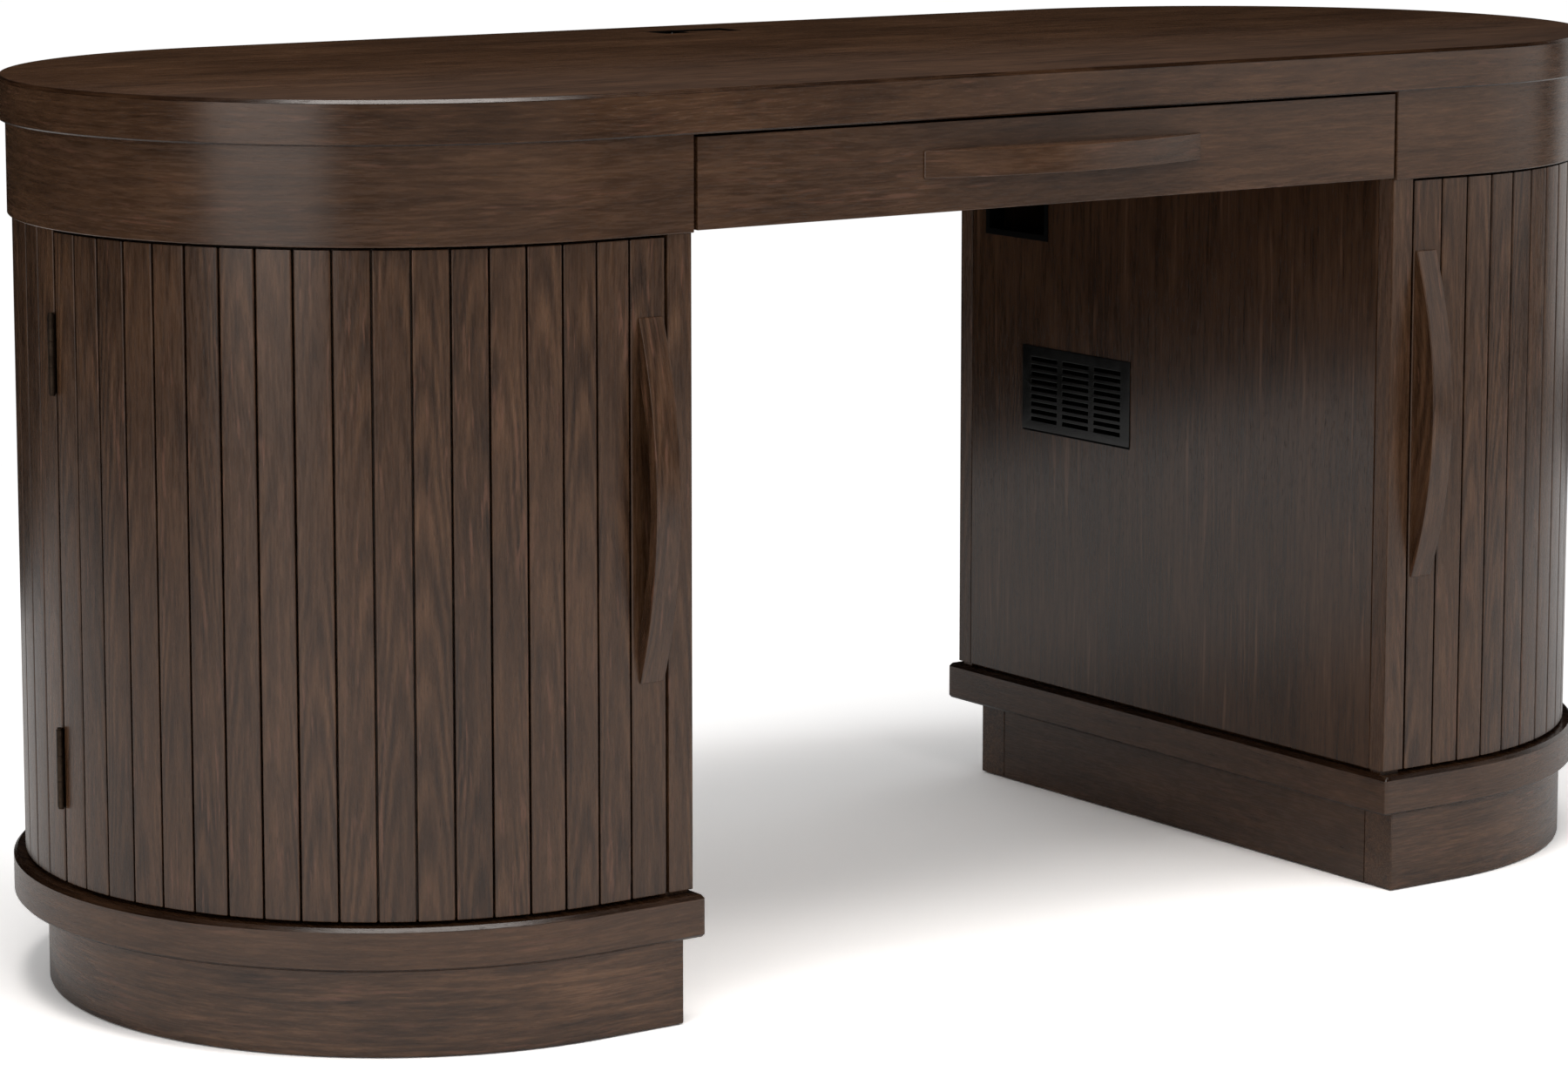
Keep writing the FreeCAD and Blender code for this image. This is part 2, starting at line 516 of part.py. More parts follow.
def channel(s0, s1, half, t, web):
    """Slide member: web at s0 (web=0) or at s1 (web=1), flanges above and below."""
    o = box(X_IN - s1, X_IN - s0, SLIDE_Y0, SLIDE_Y1, SLIDE_Z - half, SLIDE_Z + half)
    i0, i1 = (s0 + t, s1 + 1) if web == 0 else (s0 - 1, s1 - t)
    return o.cut(box(X_IN - i1, X_IN - i0, SLIDE_Y0 - 1, SLIDE_Y1 + 1, SLIDE_Z - half + t, SLIDE_Z + half - t))


both_in_one("slide_outer_members", [channel(0.0, 10.6, 22.5, 1.2, 0)])
both_in_one("slide_mid_members", [channel(3.2, 11.0, 20.0, 1.2, 0)])
both_in_one("slide_inner_members", [channel(6.0, SLIDE_GAP, 16.5, 1.2, 1)])

# ------------------------------------------------------------------- output
os.makedirs("parts", exist_ok=True)
for old in os.listdir("parts"):
    if old.endswith(".step"):
        os.remove(os.path.join("parts", old))
for name, shape in OUT.items():
    s = shape.copy()
    s.translate(V(0, YC, 0))
    bad = [i for i, x in enumerate(s.Solids) if not x.isValid() or x.Volume <= 0]
    if bad or not s.Solids:
        print("check", name, len(s.Solids), bad)
    s.exportStep("parts/%s.step" % name)
print(len(OUT), "nodes")
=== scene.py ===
import math
import random

import bmesh
import bpy
import numpy as np
from mathutils import Euler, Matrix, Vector


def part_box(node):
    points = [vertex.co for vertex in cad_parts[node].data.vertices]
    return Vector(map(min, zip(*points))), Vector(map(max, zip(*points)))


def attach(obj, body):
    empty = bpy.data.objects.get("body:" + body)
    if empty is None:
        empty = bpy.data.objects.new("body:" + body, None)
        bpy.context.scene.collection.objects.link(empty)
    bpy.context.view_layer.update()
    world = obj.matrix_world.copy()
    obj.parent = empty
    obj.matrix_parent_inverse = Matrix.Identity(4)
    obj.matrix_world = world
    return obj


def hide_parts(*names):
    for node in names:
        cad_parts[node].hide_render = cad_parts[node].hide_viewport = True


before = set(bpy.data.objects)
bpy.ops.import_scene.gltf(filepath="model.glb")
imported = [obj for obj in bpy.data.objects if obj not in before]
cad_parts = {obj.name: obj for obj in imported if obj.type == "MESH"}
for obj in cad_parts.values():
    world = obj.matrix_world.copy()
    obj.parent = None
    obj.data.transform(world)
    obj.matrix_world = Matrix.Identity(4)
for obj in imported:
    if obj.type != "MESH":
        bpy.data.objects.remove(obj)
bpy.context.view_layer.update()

MM = 0.001
YC = 9.75            # the plan is drawn about its own middle, then moved by this much in Y
rng = random.Random(41)

# ------------------------------------------------------------------ dimensions (mm)
XS, R_TOP, R_APRON, R_PED, R_BASE, R_PLINTH = 465.0, 325.8, 319.0, 315.0, 325.0, 303.0
PLINTH_DY = -13.5
FOOT_H, FOOT_D = 3.0, 6.0    # shadow line where the body stands on the base slab
Z_PL0, Z_BASE0, Z_PED0, Z_PED1, Z_TOP0, Z_TOP1 = 1.0, 72.5, 108.0, 647.0, 726.0, 762.0
X_IN, X_BASE_IN, X_PLINTH_IN = 375.2, 369.5, 385.5
STILE_W, STILE_T, PANEL_T = 23.5, 19.0, 18.0
STAVE_T, APRON_T, PLINTH_T = 8.0, 22.0, 36.5
DOOR_X0, DOOR_Z0, DOOR_Z1 = 401.0, 111.0, 644.5
HINGE_GAP, STAVES_ARC = 1.5, 16
PX0, PX1, PY0, PY1 = -35.0, 51.0, 229.0, 265.0
VENT_Y0, VENT_Y1, VENT_Z0, VENT_Z1 = 48.5, 213.5, 359.0, 443.5
CABLE_Y0, CABLE_Y1, CABLE_Z0, CABLE_Z1 = 180.0, 270.0, 551.0, 596.0


# ------------------------------------------------------------------ mesh helpers
class Shell:
    """Vertices in mm, faces, and for every face corner its place in the wood (along, across, depth)."""

    def __init__(self):
        self.v, self.f, self.g, self.t = [], [], [], []

    def add(self, x, y, z):
        self.v.append((x, y, z))
        return len(self.v) - 1

    def face(self, ids, grain, tone=0.0):
        self.f.append(tuple(ids))
        self.g.append([tuple(c) for c in grain])
        self.t.append(tone)

    def mirrored(self, shift=(0.0, 0.0, 0.0), tones=None):
        """The same piece for the other end of the desk, cut from another part of the board."""
        s = Shell()
        s.v = [(-x, y, z) for x, y, z in self.v]
        s.f = [tuple(reversed(f)) for f in self.f]
        s.g = [[(a + shift[0], b + shift[1], c + shift[2]) for a, b, c in reversed(g)] for g in self.g]
        s.t = list(self.t) if tones is None else [tones(t) for t in self.t]
        return s


def make_object(name, shell, mat, sharp=34.0):
    me = bpy.data.meshes.new(name)
    me.from_pydata([(x * MM, (y + YC) * MM, z * MM) for x, y, z in shell.v], [], shell.f)
    grain = me.attributes.new("grain", "FLOAT_VECTOR", "CORNER")
    grain.data.foreach_set("vector", np.array([c for g in shell.g for c in g], np.float32).ravel() * MM)
    tone = me.attributes.new("tone", "FLOAT", "FACE")
    tone.data.foreach_set("value", np.array(shell.t, np.float32))
    bm = bmesh.new()
    bm.from_mesh(me)
    bmesh.ops.remove_doubles(bm, verts=bm.verts, dist=2e-6)
    bmesh.ops.recalc_face_normals(bm, faces=bm.faces)
    bm.to_mesh(me)
    bm.free()
    return wrap(name, me, mat, sharp)


def wrap(name, me, mat, sharp=34.0):
    me.polygons.foreach_set("use_smooth", [True] * len(me.polygons))
    me.set_sharp_from_angle(angle=math.radians(sharp))
    me.materials.append(mat)
    ob = bpy.data.objects.new(name, me)
    bpy.context.scene.collection.objects.link(ob)
    w = ob.modifiers.new("even_normals", "WEIGHTED_NORMAL")
    w.mode, w.weight, w.keep_sharp = "FACE_AREA", 80, True
    return ob


def place(ob, body, slot, *nodes):
    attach(ob, body)
    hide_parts(*nodes)
    return ob


def prism(poly, axis, a0, a1, grain, mat, name, bevel=0.7, segments=2, sharp=34.0, tone=0.0):
    """A board: a polygon drawn in the plane across `axis`, run from a0 to a1, with eased edges."""
    bm = bmesh.new()

    def pt(p, a):
        q = {"x": (a, p[0], p[1]), "y": (p[0], a, p[1]), "z": (p[0], p[1], a)}[axis]
        return bm.verts.new((q[0] * MM, (q[1] + YC) * MM, q[2] * MM))

    lo, hi = [pt(p, a0) for p in poly], [pt(p, a1) for p in poly]
    n = len(poly)
    bm.faces.new(lo)
    bm.faces.new(hi)
    for i in range(n):
        bm.faces.new((lo[i], lo[(i + 1) % n], hi[(i + 1) % n], hi[i]))
    bmesh.ops.recalc_face_normals(bm, faces=bm.faces)
    ease(bm, bevel, segments)
    return from_bmesh(bm, grain, mat, name, sharp, tone)


def ease(bm, bevel, segments):
    edges = [e for e in bm.edges if len(e.link_faces) == 2 and e.calc_face_angle() > math.radians(40)]
    if bevel > 0 and edges:
        bmesh.ops.bevel(bm, geom=edges, offset=bevel * MM, offset_type="OFFSET", segments=segments,
                        profile=0.5, affect="EDGES", clamp_overlap=True)


def from_bmesh(bm, grain, mat, name, sharp=34.0, tone=0.0):
    me = bpy.data.meshes.new(name)
    bmesh.ops.remove_doubles(bm, verts=bm.verts, dist=2e-6)
    bmesh.ops.recalc_face_normals(bm, faces=bm.faces)
    bm.to_mesh(me)
    bm.free()
    co = np.zeros(len(me.vertices) * 3, np.float32)
    me.vertices.foreach_get("co", co)
    co = co.reshape(-1, 3) / MM
    co[:, 1] -= YC
    vi = np.zeros(len(me.loops), np.int32)
    me.loops.foreach_get("vertex_index", vi)
    g = np.array([grain(*p) for p in co], np.float32)[vi] * MM
    me.attributes.new("grain", "FLOAT_VECTOR", "CORNER").data.foreach_set("vector", g.ravel())
    t = me.attributes.new("tone", "FLOAT", "FACE")
    t.data.foreach_set("value", np.full(len(me.polygons), tone, np.float32))
    return wrap(name, me, mat, sharp)


def add_box(bm, x0, x1, y0, y1, z0, z1):
    v = [bm.verts.new((x * MM, (y + YC) * MM, z * MM)) for z in (z0, z1) for x, y in ((x0, y0), (x1, y0), (x1, y1), (x0, y1))]
    for f in ((0, 1, 2, 3), (4, 5, 6, 7), (0, 1, 5, 4), (1, 2, 6, 5), (2, 3, 7, 6), (3, 0, 4, 7)):
        bm.faces.new([v[i] for i in f])


def soft_chamfer(c, rho, n=3):
    """A 45 degree chamfer with its two corners rounded: (inset from the side, drop from the face) points."""
    t = rho * math.tan(math.radians(22.5))
    half = [(c + t - rho * math.sin(math.radians(a)), rho - rho * math.cos(math.radians(a))) for a in steps(0.0, 45.0, n)]
    return half + [(b, a) for a, b in reversed(half)]


def rect(u0, u1, v0, v1):
    return [(u0, v0), (u1, v0), (u1, v1), (u0, v1)]


def arc_pts(cx, cy, r, d0, d1, n):
    return [(cx + r * math.cos(math.radians(d0 + (d1 - d0) * i / n)),
             cy + r * math.sin(math.radians(d0 + (d1 - d0) * i / n))) for i in range(n + 1)]


def steps(a, b, n):
    return [a + (b - a) * i / n for i in range(n + 1)]


def cumulate(pts):
    s = [0.0]
    for p, q in zip(pts, pts[1:]):
        s.append(s[-1] + math.dist(p, q))
    return s


def plate_with_holes(us, vs, holes, d0, d1, put, bevel=0.5, segments=1):
    """A plate on a grid of lines, open in the cells named in holes. put(u, v, d) gives the place in mm."""
    bm = bmesh.new()
    verts = {}

    def vert(i, j, k):
        if (i, j, k) not in verts:
            x, y, z = put(us[i], vs[j], d1 if k else d0)
            verts[i, j, k] = bm.verts.new((x * MM, (y + YC) * MM, z * MM))
        return verts[i, j, k]

    full = {(i, j) for i in range(len(us) - 1) for j in range(len(vs) - 1)} - set(holes)
    for i, j in sorted(full):
        for k in (0, 1):
            bm.faces.new([vert(i, j, k), vert(i + 1, j, k), vert(i + 1, j + 1, k), vert(i, j + 1, k)])
        for (di, dj), (p, q) in (((-1, 0), ((i, j), (i, j + 1))), ((1, 0), ((i + 1, j), (i + 1, j + 1))),
                                 ((0, -1), ((i, j), (i + 1, j))), ((0, 1), ((i, j + 1), (i + 1, j + 1)))):
            if (i + di, j + dj) not in full:
                bm.faces.new([vert(*p, 0), vert(*q, 0), vert(*q, 1), vert(*p, 1)])
    bmesh.ops.recalc_face_normals(bm, faces=bm.faces)
    bmesh.ops.dissolve_limit(bm, angle_limit=0.001, verts=bm.verts, edges=bm.edges)
    ease(bm, bevel, segments)
    return bm


# ------------------------------------------------------------------ shader helpers
class Nodes:
    def __init__(self, name):
        self.mat = bpy.data.materials.new(name)
        self.mat.use_nodes = True
        self.t = self.mat.node_tree
        self.t.nodes.clear()

    def new(self, kind, **props):
        n = self.t.nodes.new(kind)
        for k, v in props.items():
            setattr(n, k, v)
        return n

    def put(self, socket, value):
        if isinstance(value, bpy.types.NodeSocket):
            self.t.links.new(value, socket)
        else:
            socket.default_value = value

    def math(self, op, a, b=None, c=None, clamp=False):
        n = self.new("ShaderNodeMath", operation=op, use_clamp=clamp)
        for i, v in enumerate((a, b, c)):
            if v is not None:
                self.put(n.inputs[i], v)
        return n.outputs[0]

    def vec(self, op, a, b=None):
        n = self.new("ShaderNodeVectorMath", operation=op)
        self.put(n.inputs[0], a)
        if b is not None:
            self.put(n.inputs[1], b)
        return n.outputs[0]

    def noise(self, vector, scale, detail=2.0, rough=0.55, distortion=0.0):
        v = self.vec("MULTIPLY", vector, scale) if isinstance(scale, tuple) else vector
        n = self.new("ShaderNodeTexNoise", noise_dimensions="3D")
        self.put(n.inputs["Vector"], v)
        n.inputs["Scale"].default_value = 1.0 if isinstance(scale, tuple) else scale
        n.inputs["Detail"].default_value = detail
        n.inputs["Roughness"].default_value = rough
        n.inputs["Distortion"].default_value = distortion
        return n.outputs[0]

    def span(self, value, a, b, c=0.0, d=1.0, smooth=True):
        n = self.new("ShaderNodeMapRange", interpolation_type="SMOOTHSTEP" if smooth else "LINEAR")
        self.put(n.inputs["Value"], value)
        for k, x in (("From Min", a), ("From Max", b), ("To Min", c), ("To Max", d)):
            n.inputs[k].default_value = x
        return n.outputs[0]

    def ramp(self, value, stops):
        n = self.new("ShaderNodeValToRGB")
        e = n.color_ramp.elements
        while len(e) < len(stops):
            e.new(0.5)
        for el, (p, c) in zip(e, stops):
            el.position, el.color = p, (*c, 1.0)
        self.put(n.inputs[0], value)
        return n.outputs[0]

    def mix(self, factor, a, b, kind="MIX"):
        n = self.new("ShaderNodeMix", data_type="RGBA", blend_type=kind)
        self.put(n.inputs[0], factor)
        for s, v in ((n.inputs[6], a), (n.inputs[7], b)):
            self.put(s, v if isinstance(v, bpy.types.NodeSocket) else (*v, 1.0))
        return n.outputs[2]

    def surface(self, color, rough, bump=None, strength=0.1, distance=0.0004, **fixed):
        p = self.new("ShaderNodeBsdfPrincipled")
        self.put(p.inputs["Base Color"], color)
        self.put(p.inputs["Roughness"], rough)
        for k, v in fixed.items():
            p.inputs[k.replace("_", " ")].default_value = v
        if bump is not None:
            b = self.new("ShaderNodeBump")
            b.inputs["Strength"].default_value = strength
            b.inputs["Distance"].default_value = distance
            self.put(b.inputs["Height"], bump)
            self.t.links.new(b.outputs[0], p.inputs["Normal"])
        out = self.new("ShaderNodeOutputMaterial")
        self.t.links.new(p.outputs[0], out.inputs["Surface"])
        return self.mat


ESPRESSO = [(0.00, (0.0150, 0.0062, 0.0026)),
            (0.30, (0.0400, 0.0182, 0.0082)),
            (0.52, (0.0640, 0.0305, 0.0145)),
            (0.74, (0.0960, 0.0470, 0.0230)),
            (1.00, (0.1500, 0.0760, 0.0390))]


def wood(name, along=None, stops=ESPRESSO, rings=0.10, streak=0.9, fine=0.55, patch=0.45, fleck=0.5, pores=0.55,
         rough=(0.25, 0.36), offset=(0.0, 0.0, 0.0), spec=0.5, tint=(0.128, 0.059, 0.035), bumpy=0.10, dash=(27.0, 330.0, 330.0), back=0.0):
    """Stained open-pored hardwood. Coordinates are (along, across, depth) in metres: the piece's own
    "grain" attribute, or, for a plain CAD piece, its position with `along` naming the grain's axis."""
    k = Nodes(name)
    if along is None:
        g = k.new("ShaderNodeAttribute", attribute_type="GEOMETRY", attribute_name="grain").outputs["Vector"]
    else:
        p = k.new("ShaderNodeTexCoord").outputs["Object"]
        s = k.new("ShaderNodeSeparateXYZ")
        k.put(s.inputs[0], p)
        c = k.new("ShaderNodeCombineXYZ")
        for i, ax in enumerate({"x": "xyz", "y": "yxz", "z": "zxy"}[along]):
            k.put(c.inputs[i], s.outputs["xyz".index(ax)])
        g = c.outputs[0]
    if any(offset):
        g = k.vec("ADD", g, offset)
    # the grain wanders a little from straight
    wander = k.math("MULTIPLY_ADD", k.noise(g, (2.6, 17.0, 17.0), 2.0), 0.016, -0.008)
    ripple = k.math("MULTIPLY_ADD", k.noise(g, (13.0, 85.0, 85.0), 2.0), 0.0036, -0.0018)
    push = k.new("ShaderNodeCombineXYZ")
    k.put(push.inputs[1], k.math("ADD", wander, ripple))
    w = k.vec("ADD", g, push.outputs[0])
    sep = k.new("ShaderNodeSeparateXYZ")
    k.put(sep.inputs[0], w)
    a, c, d = sep.outputs
    # growth rings cut at a slant: long nested arches
    arch = k.math("MULTIPLY", k.math("MULTIPLY", c, c), 24.0)
    rise = k.math("MULTIPLY_ADD", a, 0.047, k.math("MULTIPLY", d, 0.31))
    t = k.math("MULTIPLY", k.math("ADD", arch, rise), 285.0)
    ring = k.math("SINE", k.math("MULTIPLY", t, 6.2832))
    ring = k.math("MULTIPLY", ring, k.span(k.noise(g, (5.0, 40.0, 40.0), 1.0), 0.35, 0.70))
    long_streak = k.noise(w, (11.5, 190.0, 190.0), 3.0, 0.62)
    short_streak = k.noise(w, (42.0, 560.0, 560.0), 3.0, 0.60)
    cloud = k.noise(g, (5.5, 16.0, 16.0), 3.0, 0.5)
    v = k.math("MULTIPLY_ADD", k.math("SUBTRACT", long_streak, 0.5), streak, 0.5)
    v = k.math("MULTIPLY_ADD", k.math("SUBTRACT", short_streak, 0.5), fine, v)
    v = k.math("MULTIPLY_ADD", k.math("SUBTRACT", cloud, 0.5), patch, v)
    if rings:
        v = k.math("MULTIPLY_ADD", ring, rings, v)
    tone = k.new("ShaderNodeAttribute", attribute_type="GEOMETRY", attribute_name="tone").outputs["Fac"]
    if back:                             # painted sheen: the colour moves up the ramp, warmer and lighter, towards the back, so the front part reads greyer as under a reflection
        v = k.math("ADD", v, k.span(sep.outputs[1], -0.20, 0.05, 0.0, back))
    # tone moves the colour along the ramp: each board's random tone, and painted shade on arrises, grooves, ledges and
    # pull scoops
    v = k.math("MULTIPLY_ADD", tone, 0.16, v, clamp=True)
    color = k.ramp(v, stops)
    # warm flecks, gathered in patches
    f = k.span(k.noise(w, dash, 2.0, 0.5), 0.55, 0.72)
    f = k.math("MULTIPLY", f, k.span(k.noise(g, (6.0, 36.0, 36.0), 2.0), 0.44, 0.62))
    # flecks fade out on the faces darkened as painted shade
    f = k.math("MULTIPLY", f, k.span(tone, -2.4, -0.8))
    color = k.mix(k.math("MULTIPLY", f, fleck), color, tint)
    # open pores: short thin dark dashes
    pore = k.span(k.noise(w, (85.0, 1500.0, 1500.0), 1.0, 0.5), 0.60, 0.74)
    color = k.mix(k.math("MULTIPLY", pore, pores), color, (0.016, 0.0075, 0.0038))
    r = k.math("ADD", k.span(short_streak, 0.25, 0.75, rough[0], rough[1], False),
               k.math("MULTIPLY", pore, 0.10))
    if back:                             # and less worn
        r = k.math("ADD", r, k.span(sep.outputs[1], -0.28, 0.12, 0.08, -0.10))
    h = k.math("SUBTRACT", k.math("MULTIPLY", short_streak, 0.6), pore)
    return k.surface(color, r, h, bumpy, 0.0003, Specular_IOR_Level=spec)


def plastic(name, base, light, rough=(0.40, 0.55), scale=900.0, spec=0.5):
    k = Nodes(name)
    p = k.new("ShaderNodeTexCoord").outputs["Object"]
    grain = k.noise(p, scale, 2.0, 0.6)
    cloud = k.noise(p, 35.0, 3.0, 0.6)
    color = k.mix(k.span(k.math("MULTIPLY_ADD", grain, 0.5, k.math("MULTIPLY", cloud, 0.5)), 0.35, 0.65), base, light)
    return k.surface(color, k.span(cloud, 0.3, 0.7, rough[0], rough[1]), grain, 0.12, 0.00015, Specular_IOR_Level=spec)


def metal(name, dark, light, rough=(0.28, 0.45), brush=(60.0, 60.0, 900.0), bumps=0.05, metallic=1.0):
    k = Nodes(name)
    p = k.new("ShaderNodeTexCoord").outputs["Object"]
    lines = k.noise(p, brush, 3.0, 0.6)
    cloud = k.noise(p, 48.0, 4.0, 0.62)
    color = k.mix(k.span(k.math("MULTIPLY_ADD", lines, 0.45, k.math("MULTIPLY", cloud, 0.55)), 0.34, 0.66), dark, light)
    return k.surface(color, k.span(cloud, 0.3, 0.7, rough[0], rough[1]), lines, bumps, 0.0001, Metallic=metallic)


M_TOP = wood("wood_top", rings=0.0, streak=0.90, fine=0.65, patch=0.75, fleck=0.60, rough=(0.22, 0.31), back=0.085)
M_BAND = wood("wood_band", rings=0.0, streak=0.80, fine=0.60, patch=0.65, fleck=0.65, rough=(0.22, 0.32))
M_FOOT = wood("wood_foot", rings=0.0, streak=1.35, fine=0.90, patch=1.05, fleck=0.95, pores=0.70, rough=(0.22, 0.32))
M_STAVE = wood("wood_stave", rings=0.18, streak=0.85, fine=0.60, patch=0.60, fleck=0.85, pores=0.65, rough=(0.22, 0.33))
M_PANEL = wood("wood_panel", rings=0.0, streak=0.80, fine=0.50, patch=0.60, fleck=0.75, rough=(0.11, 0.17), tint=(0.125, 0.064, 0.036),
               dash=(6.5, 185.0, 185.0))
BIRCH = [(0.00, (0.140, 0.075, 0.036)), (0.35, (0.235, 0.140, 0.074)), (0.60, (0.300, 0.190, 0.108)),
         (1.00, (0.400, 0.275, 0.170))]
M_BOX = wood("drawer_wood", stops=BIRCH, rings=0.05, streak=0.7, fine=0.5, patch=0.5, fleck=0.25, pores=0.35,
             tint=(0.36, 0.22, 0.12), rough=(0.38, 0.50))
M_INSIDE = {ax: wood("cabinet_wood_" + ax, along=ax, rings=0.0, streak=0.7, fine=0.55, patch=0.5, fleck=0.2,
                     rough=(0.38, 0.50), offset=(0.7, 0.3, 0.2)) for ax in "xyz"}
M_BLACK = plastic("black_moulding", (0.0018, 0.0020, 0.0016), (0.0046, 0.0050, 0.0043), (0.11, 0.16), spec=0.34)
M_LINER = plastic("black_liner", (0.0005, 0.0005, 0.0005), (0.0015, 0.0015, 0.0014), (0.45, 0.60), spec=0.04)
M_BRONZE = metal("bronze_hinge", (0.020, 0.014, 0.010), (0.055, 0.038, 0.027), (0.36, 0.52), (300.0, 300.0, 300.0), 0.06)
M_ZINC = metal("zinc_plate", (0.36, 0.37, 0.38), (0.60, 0.61, 0.62), (0.30, 0.46), (90.0, 14.0, 1400.0), 0.04, 0.45)
M_BRASS = metal("brass_insert", (0.42, 0.27, 0.09), (0.70, 0.50, 0.20), (0.26, 0.40), (600.0, 600.0, 60.0), 0.05)
M_NYLON = plastic("nylon_glide", (0.30, 0.29, 0.27), (0.42, 0.41, 0.385), (0.42, 0.56), 1200.0)

# ------------------------------------------------------------------ desk top
top = Shell()
N_ARC = 96
stations = []          # (x of the section's centre, direction in degrees)
for x in [0.0, PX0] + steps(-60.0, -XS, 7):
    stations.append((x, 90.0))
stations += [(-XS, 90.0 + 180.0 * i / N_ARC) for i in range(1, N_ARC + 1)]
for x in steps(-XS, -60.0, 7)[1:] + [PX0, PX1] + steps(80.0, XS, 7):
    stations.append((x, 270.0))
stations += [(XS, 270.0 + 180.0 * i / N_ARC) for i in range(1, N_ARC + 1)]
for x in steps(XS, 80.0, 7)[1:] + [PX1]:
    stations.append((x, 450.0))


def stadium_point(st, r):
    return (st[0] + r * math.cos(math.radians(st[1])), r * math.sin(math.radians(st[1])))


closed = [stadium_point(s, R_TOP) for s in stations]
s_top = cumulate(closed + [closed[0]])
edge = [(a, Z_TOP1 - b) for a, b in soft_chamfer(3.0, 0.8)]
edge += [(a, Z_TOP0 + b) for a, b in reversed(soft_chamfer(1.3, 0.5))]
loops = [[top.add(*stadium_point(s, R_TOP - d), z) for s in stations] for d, z in edge]
n_st = len(stations)
for j in range(len(edge) - 1):
    for i in range(n_st):
        i2 = (i + 1) % n_st
        top.face([loops[j][i], loops[j + 1][i], loops[j + 1][i2], loops[j][i2]],
                 [(s_top[i], edge[j][1] - 824, edge[j][0]), (s_top[i], edge[j + 1][1] - 824, edge[j + 1][0]),
                  (s_top[i + 1], edge[j + 1][1] - 824, edge[j + 1][0]), (s_top[i + 1], edge[j][1] - 824, edge[j][0])],
                 -0.60 if j == len(edge) // 2 - 1 else -2.9)    # the arris faces are darkened hard as painted shade; the edge's side face is a shade darker than the top
xs_of = [s[0] if abs(math.sin(math.radians(s[1]))) > 0.9999 else None for s in stations]
fr = [i for i in range(n_st) if stations[i][1] == 270.0]
f0 = next(i for i in fr if stations[i][0] == PX0)
f1 = next(i for i in fr if stations[i][0] == PX1)
b0 = 1
b1 = n_st - 1
for j, z in ((0, Z_TOP1), (len(edge) - 1, Z_TOP0)):
    L = loops[j]
    h = [top.add(x, y, z) for x, y in ((PX0, PY0), (PX1, PY0), (PX1, PY1), (PX0, PY1))]
    sets = [[L[i] for i in range(b0, f0 + 1)] + [h[0], h[3]],
            [L[f0], L[f1], h[1], h[0]],
            [L[i] for i in range(f1, b1 + 1)] + [h[2], h[1]],
            [L[b1], L[0], L[b0], h[3], h[2]]]
    for ids in sets:
        top.face(ids, [(top.v[i][0], top.v[i][1], z) for i in ids], 0.0)
    if j == 0:
        h_top = h
    else:
        for q in range(4):
            ids = [h_top[q], h_top[(q + 1) % 4], h[(q + 1) % 4], h[q]]
            top.face(ids, [(top.v[i][0], top.v[i][1], top.v[i][2]) for i in ids])
desk_top = make_object("desk_top_board", top, M_TOP)
place(desk_top, "carcass", "dark_wood_top", "desk_top")


# ------------------------------------------------------------------ bent bands: apron and plinth
def band(r, section, x_in, dy, ease_end=0.6, n_arc=72, lift=0.0, depth=0.0):
    """A bent lamination round the right end. section: (inset from r, height) points of its outline."""
    sh = Shell()
    ds, zs = [p[0] for p in section], [p[1] for p in section]
    small = [(min(max(d, min(ds) + ease_end), max(ds) - ease_end), min(max(z, min(zs) + ease_end), max(zs) - ease_end))
             for d, z in section]
    st = [(x_in, -90.0, small), (x_in + ease_end, -90.0, section)]
    st += [(x, -90.0, section) for x in steps(x_in + ease_end, XS, 3)[1:]]
    st += [(XS, -90.0 + 180.0 * i / n_arc, section) for i in range(1, n_arc + 1)]
    st += [(x, 90.0, section) for x in steps(XS, x_in + ease_end, 3)[1:]]
    st += [(x_in, 90.0, small)]
    s = cumulate([(x + r * math.cos(math.radians(a)), r * math.sin(math.radians(a))) for x, a, _ in st])
    rings = []
    for x, a, sec in st:
        rings.append([sh.add(x + (r - d) * math.cos(math.radians(a)), (r - d) * math.sin(math.radians(a)) + dy, z)
                      for d, z in sec])
    m = len(section)
    for i in range(len(st) - 1):
        for j in range(m):
            j2 = (j + 1) % m
            (p, q), (p2, q2) = (st[i][2][j], st[i][2][j2]), (st[i + 1][2][j], st[i + 1][2][j2])
            sh.face([rings[i][j], rings[i][j2], rings[i + 1][j2], rings[i + 1][j]],
                    [(s[i], p[1] + lift, p[0] + depth), (s[i], q[1] + lift, q[0] + depth),
                     (s[i + 1], q2[1] + lift, q2[0] + depth), (s[i + 1], p2[1] + lift, p2[0] + depth)])
    for i in (0, len(st) - 1):
        sh.face(rings[i], [(s[i], p[1] + lift, p[0] + depth) for p in st[i][2]])
    return sh


apron_section = [(0.4, Z_TOP0), (0.0, Z_TOP0 - 0.4)]
apron_section += [(a, Z_PED1 + b) for a, b in reversed(soft_chamfer(0.7, 0.4))]
apron_section += [(APRON_T - 0.4, Z_PED1), (APRON_T, Z_PED1 + 0.4), (APRON_T, Z_TOP0 - 0.4), (APRON_T - 0.4, Z_TOP0)]
apron = band(R_APRON, apron_section, X_IN, 0.0, lift=1700.0)
place(make_object("apron_band_right", apron, M_BAND), "carcass", "dark_wood_band", "right_apron_band")
place(make_object("apron_band_left", apron.mirrored((2310.0, 730.0, 190.0)), M_BAND), "carcass", "dark_wood_band", "left_apron_band")

